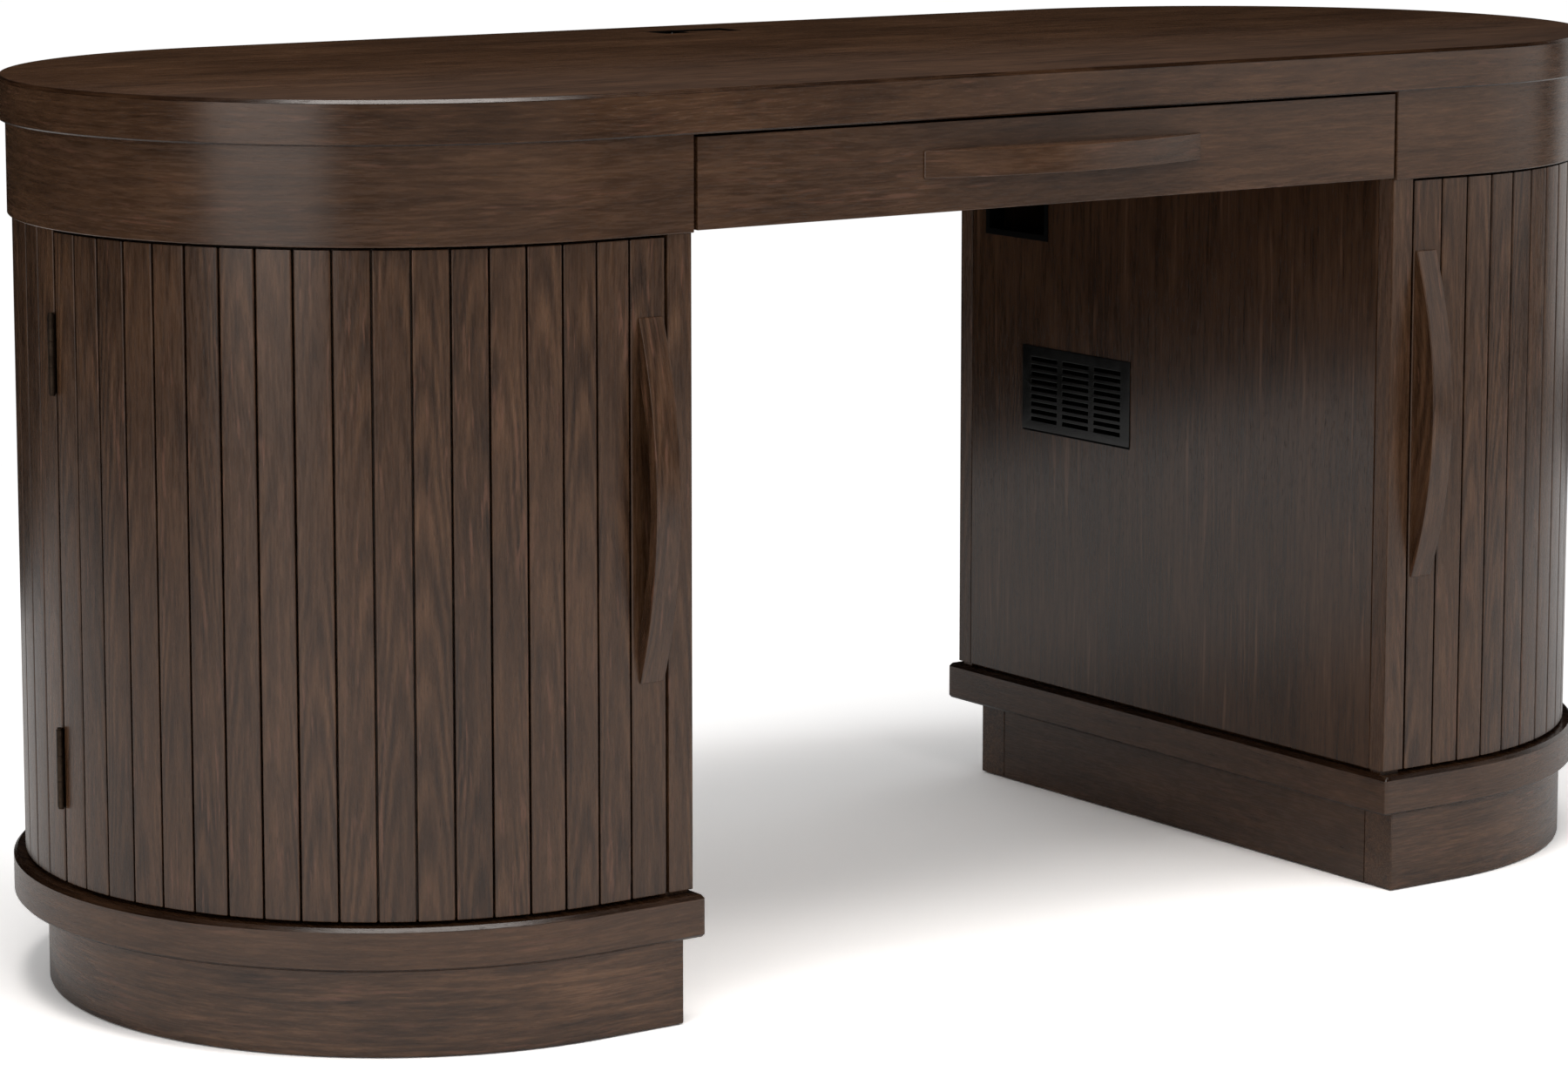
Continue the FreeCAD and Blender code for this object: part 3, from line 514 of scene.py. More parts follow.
plinth_section = [(0.7, Z_BASE0), (0.0, Z_BASE0 - 0.7), (0.0, Z_PL0 + 1.2), (0.35, Z_PL0 + 0.35), (1.2, Z_PL0),
                  (PLINTH_T - 0.7, Z_PL0), (PLINTH_T, Z_PL0 + 0.7), (PLINTH_T, Z_BASE0 - 0.7), (PLINTH_T - 0.7, Z_BASE0)]
plinth = band(R_PLINTH, plinth_section, X_PLINTH_IN, PLINTH_DY, ease_end=1.0, lift=3100.0, depth=400.0)
plinth.t = [0.2] * len(plinth.t)
place(make_object("plinth_band_right", plinth, M_FOOT), "carcass", "dark_wood_band", "right_plinth_band")
place(make_object("plinth_band_left", plinth.mirrored((-1270.0, 870.0, 90.0)), M_FOOT), "carcass", "dark_wood_band", "left_plinth_band")

# the plinth's kneehole rails, both in one piece name as they are one node
pr_y = R_PLINTH - PLINTH_T
rails = []
for sx, off in ((1, 0.0), (-1, 640.0)):
    xa, xb = sorted((sx * X_PLINTH_IN, sx * (X_PLINTH_IN + PANEL_T)))
    rails.append(prism(rect(xa, xb, Z_PL0, Z_BASE0), "y", -pr_y + PLINTH_DY + 0.3, pr_y + PLINTH_DY - 0.3,
                       lambda x, y, z, o=off: (y + o, z + 4100 + o, x), M_BAND, "plinth_rail_" + ("right" if sx > 0 else "left"), 0.9))
for ob in rails:
    place(ob, "carcass", "dark_wood_band", "plinth_rails")


# ------------------------------------------------------------------ base slabs
def d_ring(r, x_in, rc, n_arc=72):
    rc = max(rc, 0.0)
    pts = arc_pts(x_in + rc, -r + rc, rc, 180, 270, 3)
    pts += [(x, -r) for x in steps(x_in + 6.0, XS, 3)]
    pts += [(XS + r * math.cos(math.radians(a)), r * math.sin(math.radians(a))) for a in steps(-90, 90, n_arc)[1:]]
    pts += [(x, r) for x in steps(XS, x_in + 6.0, 3)[1:]]
    pts += arc_pts(x_in + rc, r - rc, rc, 90, 180, 3)
    pts += [(x_in, y) for y in steps(r - 8.0, -r + 8.0, 4)]
    return pts


base = Shell()
base_edge = [(a, Z_PED0 - b) for a, b in soft_chamfer(3.2, 0.5)]
base_edge += [(a, Z_BASE0 + b) for a, b in reversed(soft_chamfer(2.4, 0.7))]
outline = d_ring(R_BASE, X_BASE_IN, 2.6)
s_base = cumulate(outline + [outline[0]])
b_loops = []
for d, z in base_edge:
    b_loops.append([base.add(x, y, z) for x, y in d_ring(R_BASE - d, X_BASE_IN + d, 2.6 - d)])
nb = len(outline)
for j in range(len(base_edge) - 1):
    for i in range(nb):
        i2 = (i + 1) % nb
        (d, z), (d2, z2) = base_edge[j], base_edge[j + 1]
        # painted shade: the chamfer faces are darkened hard, the side face between them keeps tone 0
        base.face([b_loops[j][i], b_loops[j + 1][i], b_loops[j + 1][i2], b_loops[j][i2]],
                  [(s_base[i], z + 5300, d), (s_base[i], z2 + 5300, d2), (s_base[i + 1], z2 + 5300, d2), (s_base[i + 1], z + 5300, d)],
                  0.0 if j == len(base_edge) // 2 - 1 else -2.6)
# painted shade: the ledge outside the staves and the slab's underside are darkened hard; the cabinet floor inside them
# is a little darker than the sides
ledge = [base.add(x, y, Z_PED0) for x, y in d_ring(R_BASE - 13.0, X_BASE_IN + 13.0, 2.6)]
flat = [([b_loops[0][i], b_loops[0][(i + 1) % nb], ledge[(i + 1) % nb], ledge[i]], -2.4) for i in range(nb)]
for L, tone in flat + [(ledge, -0.7), (b_loops[-1], -2.4)]:
    base.face(L, [(base.v[i][1] + 5300, base.v[i][0], base.v[i][2]) for i in L], tone)
place(make_object("base_slab_right", base, M_BAND), "carcass", "dark_wood_band", "right_base_slab")
place(make_object("base_slab_left", base.mirrored((1930.0, 410.0, 60.0)), M_BAND), "carcass", "dark_wood_band", "left_base_slab")


# ------------------------------------------------------------------ staves
def stave_profile(w, h0, h1, bow, g=1.35, n_face=5):
    """Outline of one stave in (across, out) with its outer face at out = 0 and its back at -STAVE_T.
    h0 and h1 are half gaps at its two sides, g the eased edge. bow says that the face is divided for bending."""
    q = [0.0, 30.0, 60.0, 90.0]
    pts = [(h0 + g - g * math.cos(math.radians(t)), -g + g * math.sin(math.radians(t))) for t in q]
    n = n_face if bow else 1
    pts += [(x, 0.0) for x in steps(h0 + g, w - h1 - g, n)[1:-1]]
    pts += [(w - h1 - g + g * math.cos(math.radians(t)), -g + g * math.sin(math.radians(t))) for t in reversed(q)]
    pts += [(x, -STAVE_T + 0.06) for x in steps(w - h1, h0, n)]
    return pts


def add_stave(sh, w, h0, h1, put, z0, z1, bow, tone, centre, deep, slip):
    e = 0.7
    prof = stave_profile(w, h0, h1, bow)
    tight = [(min(max(x, h0 + e), w - h1 - e), min(max(o, -STAVE_T + e), -e * 0.6)) for x, o in prof]
    levels = [(z0, tight), (z0 + e, prof), (z1 - e, prof), (z1, tight)]
    ids = [[sh.add(*put(x, o), z) for x, o in pr] for z, pr in levels]

    def gr(p, z):
        return (z + slip, p[0] - w / 2 + centre, p[1] + deep)

    m = len(prof)
    n = 5 if bow else 1
    groove_shade = {m - 1: -3.5, n + 6: -3.5, 0: -1.8, n + 5: -1.8}     # painted shade: the groove walls and the outer steps of their eased edges are darkened
    for i in range(3):
        for j in range(m):
            j2 = (j + 1) % m
            (za, pa), (zb, pb) = levels[i], levels[i + 1]
            sh.face([ids[i][j], ids[i][j2], ids[i + 1][j2], ids[i + 1][j]],
                    [gr(pa[j], za), gr(pa[j2], za), gr(pb[j2], zb), gr(pb[j], zb)], tone + groove_shade.get(j, 0.0))
    for i in (0, 3):
        sh.face(ids[i], [gr(p, levels[i][0]) for p in levels[i][1]], tone - 2.0)


def stave_row(sy, x0, z0, z1, seed):
    """The 18 staves of one quarter of the right end; sy is -1 for the door, +1 for the fixed back."""
    sh = Shell()
    r = random.Random(seed)
    gap = HINGE_GAP / R_PED
    step = (math.pi / 2 - gap) / STAVES_ARC
    xm = x0 + (XS - x0) * 0.52
    slot = 0.75

    def card():
        return dict(tone=r.uniform(-0.60, 0.20), centre=r.uniform(-11.0, 11.0), deep=r.uniform(0, 9000.0), slip=r.uniform(0, 6000.0))

    for xa, xb, h0, h1 in ((x0, xm, 0.0, slot), (xm, XS, slot, slot)):
        add_stave(sh, xb - xa, h0, h1, lambda t, o, xa=xa: (xa + t, sy * (R_PED + o)), z0, z1, False, **card())
    for n in range(STAVES_ARC):
        a0 = math.pi / 2 - n * step          # from the straight part towards the apex
        h1 = (0.2 if sy < 0 else -0.4) if n == STAVES_ARC - 1 else slot
        add_stave(sh, step * R_PED, slot, h1,
                  lambda t, o, a0=a0: (XS + (R_PED + o) * math.cos(a0 - t / R_PED), sy * (R_PED + o) * math.sin(a0 - t / R_PED)),
                  z0, z1, True, **card())
    return sh


for side in ("right", "left"):
    for kind, sy, x0, z0, z1, body in (("door_staves", -1, DOOR_X0, DOOR_Z0, DOOR_Z1, side + "_door"),
                                       ("back_staves", 1, X_IN + STILE_W + 0.2, Z_PED0 + FOOT_H, Z_PED1, "carcass")):
        sh = stave_row(sy, x0, z0, z1, {"rightdoor_staves": 5, "rightback_staves": 11, "leftdoor_staves": 41, "leftback_staves": 31}[side + kind])
        if side == "left":
            sh = sh.mirrored()
        place(make_object(kind[:-1] + "_set_" + side, sh, M_STAVE, 40.0), body, "dark_wood_stave", side + "_" + kind)

# ------------------------------------------------------------------ stiles and kneehole panels
y_st = R_PED - STILE_T
for side, sx in (("right", 1), ("left", -1)):
    xa, xb = sorted((sx * X_IN, sx * (X_IN + STILE_W)))
    for kind, ya, yb, off in (("front_stile", -R_PED, -y_st, 0.0), ("back_stile", y_st, R_PED, 310.0)):
        o = off + (900.0 if sx < 0 else 0.0)
        bm = bmesh.new()
        add_box(bm, xa, xb, ya, yb, Z_PED0 + FOOT_H, Z_PED1)
        bmesh.ops.recalc_face_normals(bm, faces=bm.faces)
        ease(bm, 0.9, 2)
        inner = (xa + 2.0, xb - 0.4) if sx > 0 else (xa + 0.4, xb - 2.0)
        add_box(bm, *inner, *((ya + FOOT_D, yb) if ya < 0 else (ya, yb - FOOT_D)), Z_PED0, Z_PED0 + FOOT_H + 2.0)
        ob = from_bmesh(bm, lambda x, y, z, o=o, c=(xa + xb) / 2: (z + 3 * o, x - c + 4.0, y + 2000 + o), M_STAVE,
                        kind + "_board_" + side, tone=0.1)
        place(ob, "carcass", "dark_wood_stave", side + "_" + kind)
    lap = 8.0
    ys = [-y_st + 0.4, VENT_Y0 + lap, CABLE_Y0, VENT_Y1 - lap, CABLE_Y1, y_st - 0.4]
    zs = [Z_PED0 + FOOT_H, VENT_Z0 + lap, VENT_Z1 - lap, CABLE_Z0, CABLE_Z1, Z_PED1]
    holes = [(1, 1), (2, 1), (2, 3), (3, 3)]
    bm = plate_with_holes(ys, zs, holes, X_IN, X_IN + PANEL_T, lambda y, z, x, sx=sx: (sx * x, y, z), 0.9, 2)
    add_box(bm, *sorted((sx * (X_IN + FOOT_D), sx * (X_IN + PANEL_T - 0.3))), -y_st + 0.5, y_st - 0.5, Z_PED0, Z_PED0 + FOOT_H + 2.0)
    o = 0.0 if sx > 0 else 1400.0
    ob = from_bmesh(bm, lambda x, y, z, o=o: (z + 7000 + o, y + 2 * o, x + 3000), M_PANEL, "kneehole_panel_" + side, tone=-0.95)
    place(ob, "carcass", "dark_wood_panel", side + "_inner_panel")


# ------------------------------------------------------------------ bowed pulls
def bow_shell(deep, slip):
    """Bowed bar along +Z with its chord on y = 0, bow towards -Y, and a finger scoop cut in from +X."""
    sh = Shell()
    half, rise, tip, w = 147.5, 26.5, 1.5, 11.5
    R1 = (half ** 2 + (rise - tip) ** 2) / (2 * (rise - tip))
    sh_half, s_rise, wall = 103.0, 16.5, -1.5
    R2 = (sh_half ** 2 + s_rise ** 2) / (2 * s_rise)
    zs = [-half, -half + 0.5] + steps(-half + 4, -sh_half, 8) + steps(-sh_half, sh_half, 44)[1:-1] + steps(sh_half, half - 4, 8) + [half - 0.5, half]
    rings = []
    for z in zs:
        b = tip + math.sqrt(R1 * R1 - z * z) - (R1 - (rise - tip))
        s = math.sqrt(R2 * R2 - z * z) - (R2 - s_rise) if abs(z) < sh_half else 0.0
        k = 0.5 if abs(z) > half - 0.1 else 0.0
        b -= k
        rc = min(0.9, b * 0.55)
        rl = min(0.5, (b - s) * 0.3)
        ww = w - k
        sec = [(-ww, 0.0), (wall, 0.0), (wall, -s), (ww - rl, -s), (ww - rl * 0.29, -s - rl * 0.29), (ww, -s - rl)]
        sec += [(ww - rc + rc * math.cos(math.radians(t)), -b + rc - rc * math.sin(math.radians(t))) for t in (0, 22.5, 45, 67.5, 90)]
        sec += [(-ww + rc - rc * math.sin(math.radians(t)), -b + rc - rc * math.cos(math.radians(t))) for t in (0, 22.5, 45, 67.5, 90)]
        rings.append(([sh.add(x, y, z) for x, y in sec], [(x, y + b) for x, y in sec], z))
    m = len(rings[0][0])
    for (ia, sa, za), (ib, sb, zb) in zip(rings, rings[1:]):
        for j in range(m):
            j2 = (j + 1) % m
            # painted shade: the scoop's wall and the lip's underside are darkened hard
            sh.face([ia[j], ia[j2], ib[j2], ib[j]],
                    tone=-3.4 if j in (1, 2) else -0.3, grain=
                    [(za + slip, sa[j][0] + 5, sa[j][1] + deep), (za + slip, sa[j2][0] + 5, sa[j2][1] + deep),
                     (zb + slip, sb[j2][0] + 5, sb[j2][1] + deep), (zb + slip, sb[j][0] + 5, sb[j][1] + deep)])
    for ids, sec, z in (rings[0], rings[-1]):
        sh.face(ids, [(z + slip, x + 5, y + deep) for x, y in sec])
    return sh


def moved(sh, fn):
    sh.v = [fn(*p) for p in sh.v]
    return sh


handle = moved(bow_shell(600.0, 100.0), lambda x, y, z: (x + 415.0, y - R_PED, z + 434.25))
place(make_object("door_handle_bow_right", handle, M_STAVE), "right_door", "dark_wood_stave", "right_door_handle")
handle_l = moved(bow_shell(4600.0, 1900.0), lambda x, y, z: (x + 415.0, y - R_PED, z + 434.25)).mirrored()
place(make_object("door_handle_bow_left", handle_l, M_STAVE), "left_door", "dark_wood_stave", "left_door_handle")
pull = moved(bow_shell(2600.0, 5000.0), lambda x, y, z: (z, y - R_APRON, 689.0 - x))
place(make_object("drawer_pull_bow", pull, M_BAND), "drawer", "dark_wood_band", "drawer_pull")

# ------------------------------------------------------------------ drawer and back rail
front = prism(rect(-372.0, 372.0, 648.5, 723.5), "y", -R_APRON, -297.0, lambda x, y, z: (x + 9000, z + 300, y), M_BAND, "drawer_front_board", 0.9, 2)
place(front, "drawer", "dark_wood_band", "drawer_front")
rail = prism([(297.0, Z_PED1), (316.0, Z_PED1)] + [(316.0 + 3 * math.sin(math.radians(t)), Z_PED1 + 3 - 3 * math.cos(math.radians(t))) for t in (18, 36, 54, 72, 90)]
             + [(319.0, Z_TOP0), (297.0, Z_TOP0)], "x", -X_IN + 0.05, X_IN - 0.05, lambda x, y, z: (x + 12000, z + 2200, y), M_BAND, "back_rail_board", 0.5, 1)
place(rail, "carcass", "dark_wood_band", "back_apron_rail")

side_profile = [(362.5, 655.0), (362.5, 711.0), (350.5, 711.0), (350.5, 667.0), (356.5, 667.0), (356.5, 661.0), (350.5, 661.0), (350.5, 655.0)]
for side, sx in (("right", 1), ("left", -1)):
    ob = prism([(sx * x, z) for x, z in side_profile], "y", -297.0, 113.0, lambda x, y, z, sx=sx: (y + 400 * sx, z + 150 * sx, x), M_BOX,
               "drawer_side_board_" + side, 0.7, 2)
    place(ob, "drawer", "drawer_box_wood", "drawer_sides")
ob = prism(rect(-350.5, 350.5, 667.0, 711.0), "y", 101.0, 113.0, lambda x, y, z: (x + 2000, z, y), M_BOX, "drawer_back_board", 0.7, 2)
place(ob, "drawer", "drawer_box_wood", "drawer_back")
ob = prism(rect(-356.5, 356.5, -303.0, 113.0), "z", 661.0, 667.0, lambda x, y, z: (x + 5000, y, z), M_BOX, "drawer_bottom_board", 0.3, 1)
place(ob, "drawer", "drawer_box_wood", "drawer_bottom")

# ------------------------------------------------------------------ vent grilles and cable liners
yc_v, zc_v = (VENT_Y0 + VENT_Y1) / 2, (VENT_Z0 + VENT_Z1) / 2
for side, sx in (("right", 1), ("left", -1)):
    put = lambda y, z, x, sx=sx: (sx * x, y, z)
    ys, zs = [VENT_Y0], [VENT_Z0 + 2.0]
    for c in (-1, 0, 1):
        ys += [yc_v + c * 48.5 - 20.0, yc_v + c * 48.5 + 20.0]
    for r in range(9):
        zc = zc_v + (r - 4) * 7.4
        zs += [zc - 1.9, zc + 1.9]
    ys.append(VENT_Y1)
    zs.append(VENT_Z1)
    holes = [(1 + 2 * c, 1 + 2 * r) for c in range(3) for r in range(9)]
    bm = plate_with_holes(ys, zs, holes, X_IN - 1.1, X_IN, put, 0.4, 2)
    # sleeve behind the face
    y0, y1, z0, z1 = VENT_Y0 + 8, VENT_Y1 - 8, VENT_Z0 + 8, VENT_Z1 - 8
    sleeve = plate_with_holes([y0, y0 + 1.6, y1 - 1.6, y1], [z0, z0 + 1.6, z1 - 1.6, z1], [(1, 1)], X_IN + 0.02, X_IN + 8.0, put, 0.2, 1)
    # sloping blades behind the slots
    blades = bmesh.new()
    for r in range(9):
        zc = zc_v + (r - 4) * 7.4
        q = [(X_IN + 0.3, zc - 2.6), (X_IN + 1.0, zc - 3.2), (X_IN + 7.2, zc + 1.6), (X_IN + 6.5, zc + 2.2)]
        rings = [[blades.verts.new((sx * x * MM, (y + YC) * MM, z * MM)) for x, z in q] for y in (y0 + 1.7, y1 - 1.7)]
        blades.faces.new(rings[0])
        blades.faces.new(rings[1])
        for i in range(4):
            blades.faces.new((rings[0][i], rings[0][(i + 1) % 4], rings[1][(i + 1) % 4], rings[1][i]))
    for extra in (sleeve, blades):
        tmp = bpy.data.meshes.new("tmp")
        bmesh.ops.recalc_face_normals(extra, faces=extra.faces)
        extra.to_mesh(tmp)
        extra.free()
        bm.from_mesh(tmp)
        bpy.data.meshes.remove(tmp)
    ob = from_bmesh(bm, lambda x, y, z: (y, z, x), M_BLACK, "vent_grille_" + side)
    place(ob, "carcass", "black_plastic", "vent_grilles")
    # thin black strip between the plate and the panel, standing out along the lower edge: a painted shadow line under
    # the plate
    bm = plate_with_holes([VENT_Y0, VENT_Y0 + 6, VENT_Y1 - 6, VENT_Y1], [VENT_Z0, VENT_Z0 + 6, VENT_Z1 - 6, VENT_Z1],
                          [(1, 1)], X_IN - 0.35, X_IN - 0.03, put, 0.08, 1)
    ob = from_bmesh(bm, lambda x, y, z: (y, z, x), M_LINER, "vent_shadow_strip_" + side)
    place(ob, "carcass", "black_plastic", "vent_grilles")
    bm = plate_with_holes([CABLE_Y0 - 4, CABLE_Y0 + 2, CABLE_Y1 - 2, CABLE_Y1 + 4], [CABLE_Z0 - 4, CABLE_Z0 + 2, CABLE_Z1 - 2, CABLE_Z1 + 4],
                          [(1, 1)], X_IN - 0.8, X_IN, put, 0.3, 2)
    sleeve = plate_with_holes([CABLE_Y0 + 0.05, CABLE_Y0 + 2, CABLE_Y1 - 2, CABLE_Y1 - 0.05], [CABLE_Z0 + 0.05, CABLE_Z0 + 2, CABLE_Z1 - 2, CABLE_Z1 - 0.05],
                              [(1, 1)], X_IN + 0.02, X_IN + PANEL_T, put, 0.2, 1)
    tmp = bpy.data.meshes.new("tmp")
    sleeve.to_mesh(tmp)
    sleeve.free()
    bm.from_mesh(tmp)
    bpy.data.meshes.remove(tmp)
    ob = from_bmesh(bm, lambda x, y, z: (y, z, x), M_LINER, "cable_liner_" + side)
    place(ob, "carcass", "black_plastic", "cable_hole_liners")

# ------------------------------------------------------------------ lid of the cable port
(lx0, ly0, _), (lx1, ly1, _) = ([c / MM for c in q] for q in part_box("port_lid"))
ly0, ly1 = ly0 - YC, ly1 - YC
axis_y, axis_z, lid_r, lid_top = ly1 - 2.5, Z_TOP1 - 2.5, 2.5, Z_TOP1 - 1.3
lid = Shell()
notch = (lx0 + lx1) / 2
rings = []
for x in [lx0, lx0 + 0.4] + steps(lx0 + 4.0, notch - 6.0, 4) + steps(notch - 6.0, notch + 6.0, 16)[1:] + steps(notch + 6.0, lx1 - 4.0, 4)[1:] + [lx1 - 0.4, lx1]:
    k = 0.4 if x in (lx0, lx1) else 0.0
    yf = ly0 + max(0.0, math.sqrt(max(0.0, 36.0 - (x - notch) ** 2)) - 2.5) + k
    sec = [(yf, Z_TOP1 - 5.0 + k), (axis_y, Z_TOP1 - 5.0 + k)]
    sec += [(axis_y + (lid_r - k) * math.cos(math.radians(t)), axis_z + (lid_r - k) * math.sin(math.radians(t))) for t in steps(-75.0, 25.0, 8)]
    sec += [(axis_y, lid_top - k), (yf + 0.5, lid_top - k), (yf, lid_top - 0.5 - k)]
    rings.append([lid.add(x, y, z) for y, z in sec])
for ra, rb in zip(rings, rings[1:]):
    for j in range(len(ra)):
        ids = [ra[j], ra[(j + 1) % len(ra)], rb[(j + 1) % len(ra)], rb[j]]
        lid.face(ids, [lid.v[i] for i in ids], 0.3)
for ra in (rings[0], rings[-1]):
    lid.face(ra, [lid.v[i] for i in ra])
place(make_object("port_lid_board", lid, M_TOP), "port_lid", "dark_wood_band", "port_lid")

# ------------------------------------------------------------------ finishes of the CAD pieces that stay
FINISH = {
    "port_liner": M_LINER, "door_catches": M_BLACK,
    "left_door_core": M_INSIDE["z"], "right_door_core": M_INSIDE["z"], "left_back_core": M_INSIDE["z"], "right_back_core": M_INSIDE["z"],
    "left_cabinet_top": M_INSIDE["y"], "right_cabinet_top": M_INSIDE["y"], "shelves": M_INSIDE["y"], "door_stops": M_INSIDE["z"],
    "drawer_rails": M_INSIDE["y"], "corner_blocks": M_INSIDE["x"],
    "hinge_carcass_leaves": M_BRONZE, "hinge_pins": M_BRONZE, "left_hinge_leaves": M_BRONZE, "right_hinge_leaves": M_BRONZE,
    "slide_outer_members": M_ZINC, "slide_mid_members": M_ZINC, "slide_inner_members": M_ZINC, "top_bolts": M_ZINC,
    "hinge_carcass_screws": M_ZINC, "left_door_screws": M_ZINC, "right_door_screws": M_ZINC, "drawer_pull_screws": M_ZINC,
    "left_strike_plate": M_ZINC, "right_strike_plate": M_ZINC, "shelf_pins": M_ZINC, "port_lid_pin": M_ZINC,
    "top_inserts": M_BRASS, "floor_glides": M_NYLON,
}
for node, mat in FINISH.items():
    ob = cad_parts[node]
    ob.data.materials.clear()
    ob.data.materials.append(mat)

# ------------------------------------------------------------------ stage
FLOOR_R = 3.0
bm = bmesh.new()
bmesh.ops.create_circle(bm, cap_ends=True, cap_tris=False, segments=128, radius=FLOOR_R)
me = bpy.data.meshes.new("floor")
bm.to_mesh(me)
bm.free()
floor = bpy.data.objects.new("floor", me)
bpy.context.scene.collection.objects.link(floor)
k = Nodes("floor_white")
p = k.new("ShaderNodeTexCoord").outputs["Object"]
dist = k.new("ShaderNodeVectorMath", operation="LENGTH")
k.put(dist.inputs[0], p)
glow = k.span(dist.outputs["Value"], 1.1, FLOOR_R * 0.9, 0.0, 1.0)
oval = k.new("ShaderNodeVectorMath", operation="LENGTH")
k.put(oval.inputs[0], k.vec("MULTIPLY", p, (0.75, 1.2, 0.0)))
clean = k.span(oval.outputs["Value"], 0.62, 0.85, 0.0, 0.5)
mottle = k.ramp(k.noise(p, 3.0, 2.0), [(0.3, (0.91, 0.91, 0.91)), (0.7, (0.93, 0.93, 0.93))])
bounce = k.new("ShaderNodeBsdfPrincipled")
k.put(bounce.inputs["Base Color"], mottle)
bounce.inputs["Roughness"].default_value = 0.9
bounce.inputs["Specular IOR Level"].default_value = 0.1
bounce.inputs["Emission Color"].default_value = (1, 1, 1, 1)
k.put(bounce.inputs["Emission Strength"], k.math("MULTIPLY", glow, 0.34))
# the paper is overexposed in the picture, as on a cut-out studio shot
bright = k.new("ShaderNodeBsdfDiffuse")
bright.inputs["Color"].default_value = (1.85, 1.85, 1.85, 1.0)
shine = k.new("ShaderNodeEmission")
shine.inputs["Strength"].default_value = 1.02
over = k.new("ShaderNodeMixShader")
k.put(over.inputs[0], k.math("MAXIMUM", glow, clean))
k.t.links.new(bright.outputs[0], over.inputs[1])
k.t.links.new(shine.outputs[0], over.inputs[2])
# and it ends in a dark studio: its far part isn't mirrored in the polish
dark = k.new("ShaderNodeBsdfDiffuse")
dark.inputs["Color"].default_value = (0.012, 0.012, 0.012, 1.0)
away = k.new("ShaderNodeVectorMath", operation="DOT_PRODUCT")
k.put(away.inputs[0], p)
away.inputs[1].default_value = (0.293, 0.956, 0.0)
far = k.span(away.outputs["Value"], 1.42, 1.78)
path = k.new("ShaderNodeLightPath")
mirror = k.math("MULTIPLY", far, path.outputs["Is Glossy Ray"])
mix_a, mix_b = k.new("ShaderNodeMixShader"), k.new("ShaderNodeMixShader")
k.put(mix_a.inputs[0], mirror)
k.t.links.new(bounce.outputs[0], mix_a.inputs[1])
k.t.links.new(dark.outputs[0], mix_a.inputs[2])
k.put(mix_b.inputs[0], path.outputs["Is Camera Ray"])
k.t.links.new(mix_a.outputs[0], mix_b.inputs[1])
k.t.links.new(over.outputs[0], mix_b.inputs[2])
out = k.new("ShaderNodeOutputMaterial")
k.t.links.new(mix_b.outputs[0], out.inputs["Surface"])
floor.data.materials.append(k.mat)


def softbox(name, at, aim, size, radiance, glossy=True, diffuse=True, turn=None, color=(1.0, 1.0, 1.0)):
    """A rectangular soft light of a given brightness."""
    li = bpy.data.lights.new(name, "AREA")
    li.shape = "RECTANGLE"
    li.size, li.size_y = size
    li.energy = radiance * math.pi * size[0] * size[1]
    li.color = color
    ob = bpy.data.objects.new(name, li)
    ob.location = at
    ob.rotation_mode = "QUATERNION"
    if turn is None:
        ob.rotation_quaternion = (Vector(aim) - Vector(at)).to_track_quat("-Z", "Y")
    else:                                # overhead, turned about the vertical
        ob.rotation_quaternion = Euler((0.0, 0.0, math.radians(turn))).to_quaternion()
    ob.visible_glossy, ob.visible_diffuse = glossy, diffuse
    bpy.context.scene.collection.objects.link(ob)
    return ob


WARM, SOFT = (1.0, 0.945, 0.905), (1.0, 0.955, 0.92)
softbox("over", (-0.56, -0.33, 3.0), None, (1.60, 0.50), 10.8, turn=-29.0, color=WARM)
softbox("over_end", (0.42, -0.68, 3.0), None, (0.55, 0.40), 4.0, turn=-4.0, color=WARM)
softbox("over_front", (-0.72, -1.02, 3.0), None, (2.30, 0.50), 8.5, turn=-25.0, color=WARM)
softbox("left", (-3.5, -1.35, 1.25), (-0.6, 0.0, 0.6), (2.1, 2.1), 2.1, diffuse=False, color=SOFT)
softbox("left_fill", (-3.2, -1.75, 1.25), (-0.6, 0.0, 0.6), (1.6, 2.1), 1.15, glossy=False)
softbox("front", (0.6, -4.2, 3.0), (0.0, 0.0, 0.4), (3.0, 2.0), 1.45, glossy=False)
softbox("right", (2.95, -2.05, 1.60), (0.28, -0.11, 1.60), (2.72, 2.7), 0.95, diffuse=False, color=SOFT)
softbox("right_fill", (2.6, -2.5, 1.60), (0.28, -0.11, 1.0), (2.2, 2.2), 0.55, glossy=False)
softbox("right_back", (3.37, 1.40, 1.30), (0.60, -0.20, 1.30), (0.9, 2.0), 0.8, glossy=False)
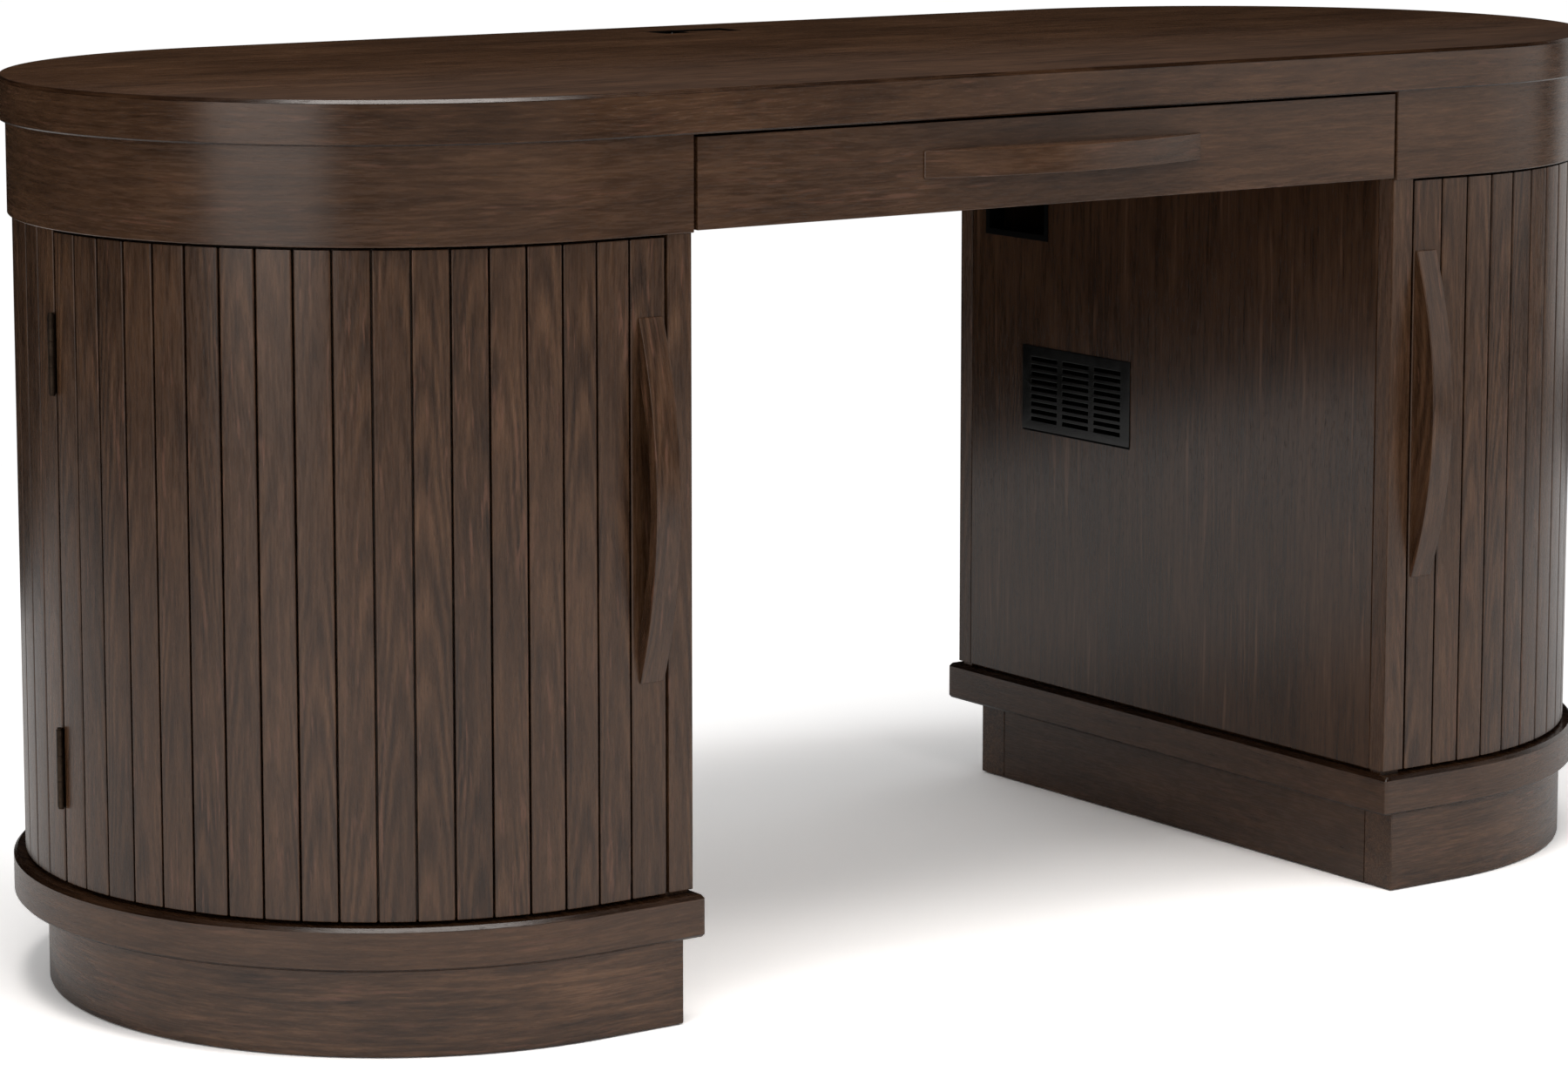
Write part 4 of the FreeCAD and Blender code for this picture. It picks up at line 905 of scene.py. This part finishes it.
softbox("right_end", (3.52, 0.72, 1.00), (0.0, 0.72, 1.00), (1.70, 1.9), 0.88, diffuse=False, color=SOFT)
softbox("low", (-1.2, -4.9, 0.45), (-1.2, 0.0, 0.45), (5.4, 0.8), 0.34, color=SOFT)
softbox("back", (0.4, 4.2, 2.6), (0.0, 0.0, 0.5), (3.0, 1.8), 0.8, glossy=False)
softbox("far", (1.75, 2.75, 2.45), (0.0, 0.0, 2.45), (3.6, 1.4), 0.10)

world = bpy.data.worlds.new("studio")
bpy.context.scene.world = world
world.use_nodes = True
wt = world.node_tree
wt.nodes.clear()
lp = wt.nodes.new("ShaderNodeLightPath")
seen, lit, gloss = (wt.nodes.new("ShaderNodeBackground") for _ in range(3))
for b, s in ((seen, 1.02), (lit, 0.34), (gloss, 0.003)):
    b.inputs["Color"].default_value = (1, 1, 1, 1)
    b.inputs["Strength"].default_value = s
m1, m2 = wt.nodes.new("ShaderNodeMixShader"), wt.nodes.new("ShaderNodeMixShader")
wo = wt.nodes.new("ShaderNodeOutputWorld")
wt.links.new(lp.outputs["Is Glossy Ray"], m1.inputs[0])
wt.links.new(lit.outputs[0], m1.inputs[1])
wt.links.new(gloss.outputs[0], m1.inputs[2])
wt.links.new(lp.outputs["Is Camera Ray"], m2.inputs[0])
wt.links.new(m1.outputs[0], m2.inputs[1])
wt.links.new(seen.outputs[0], m2.inputs[2])
wt.links.new(m2.outputs[0], wo.inputs["Surface"])

cd = bpy.data.cameras.new("view")
cd.sensor_fit, cd.sensor_width, cd.lens = "HORIZONTAL", 36.0, 110.5
cd.shift_x, cd.shift_y = 0.0062, -0.10
cd.clip_start, cd.clip_end = 0.05, 100.0
cam = bpy.data.objects.new("view", cd)
cam.location = (-2.5128, -3.4696 + YC * MM, 1.0608)
cam.rotation_euler = (math.radians(90.0 - 7.942), 0.0, math.radians(-35.111))
bpy.context.scene.collection.objects.link(cam)
bpy.context.scene.camera = cam
bpy.context.scene.view_settings.view_transform = "Standard"
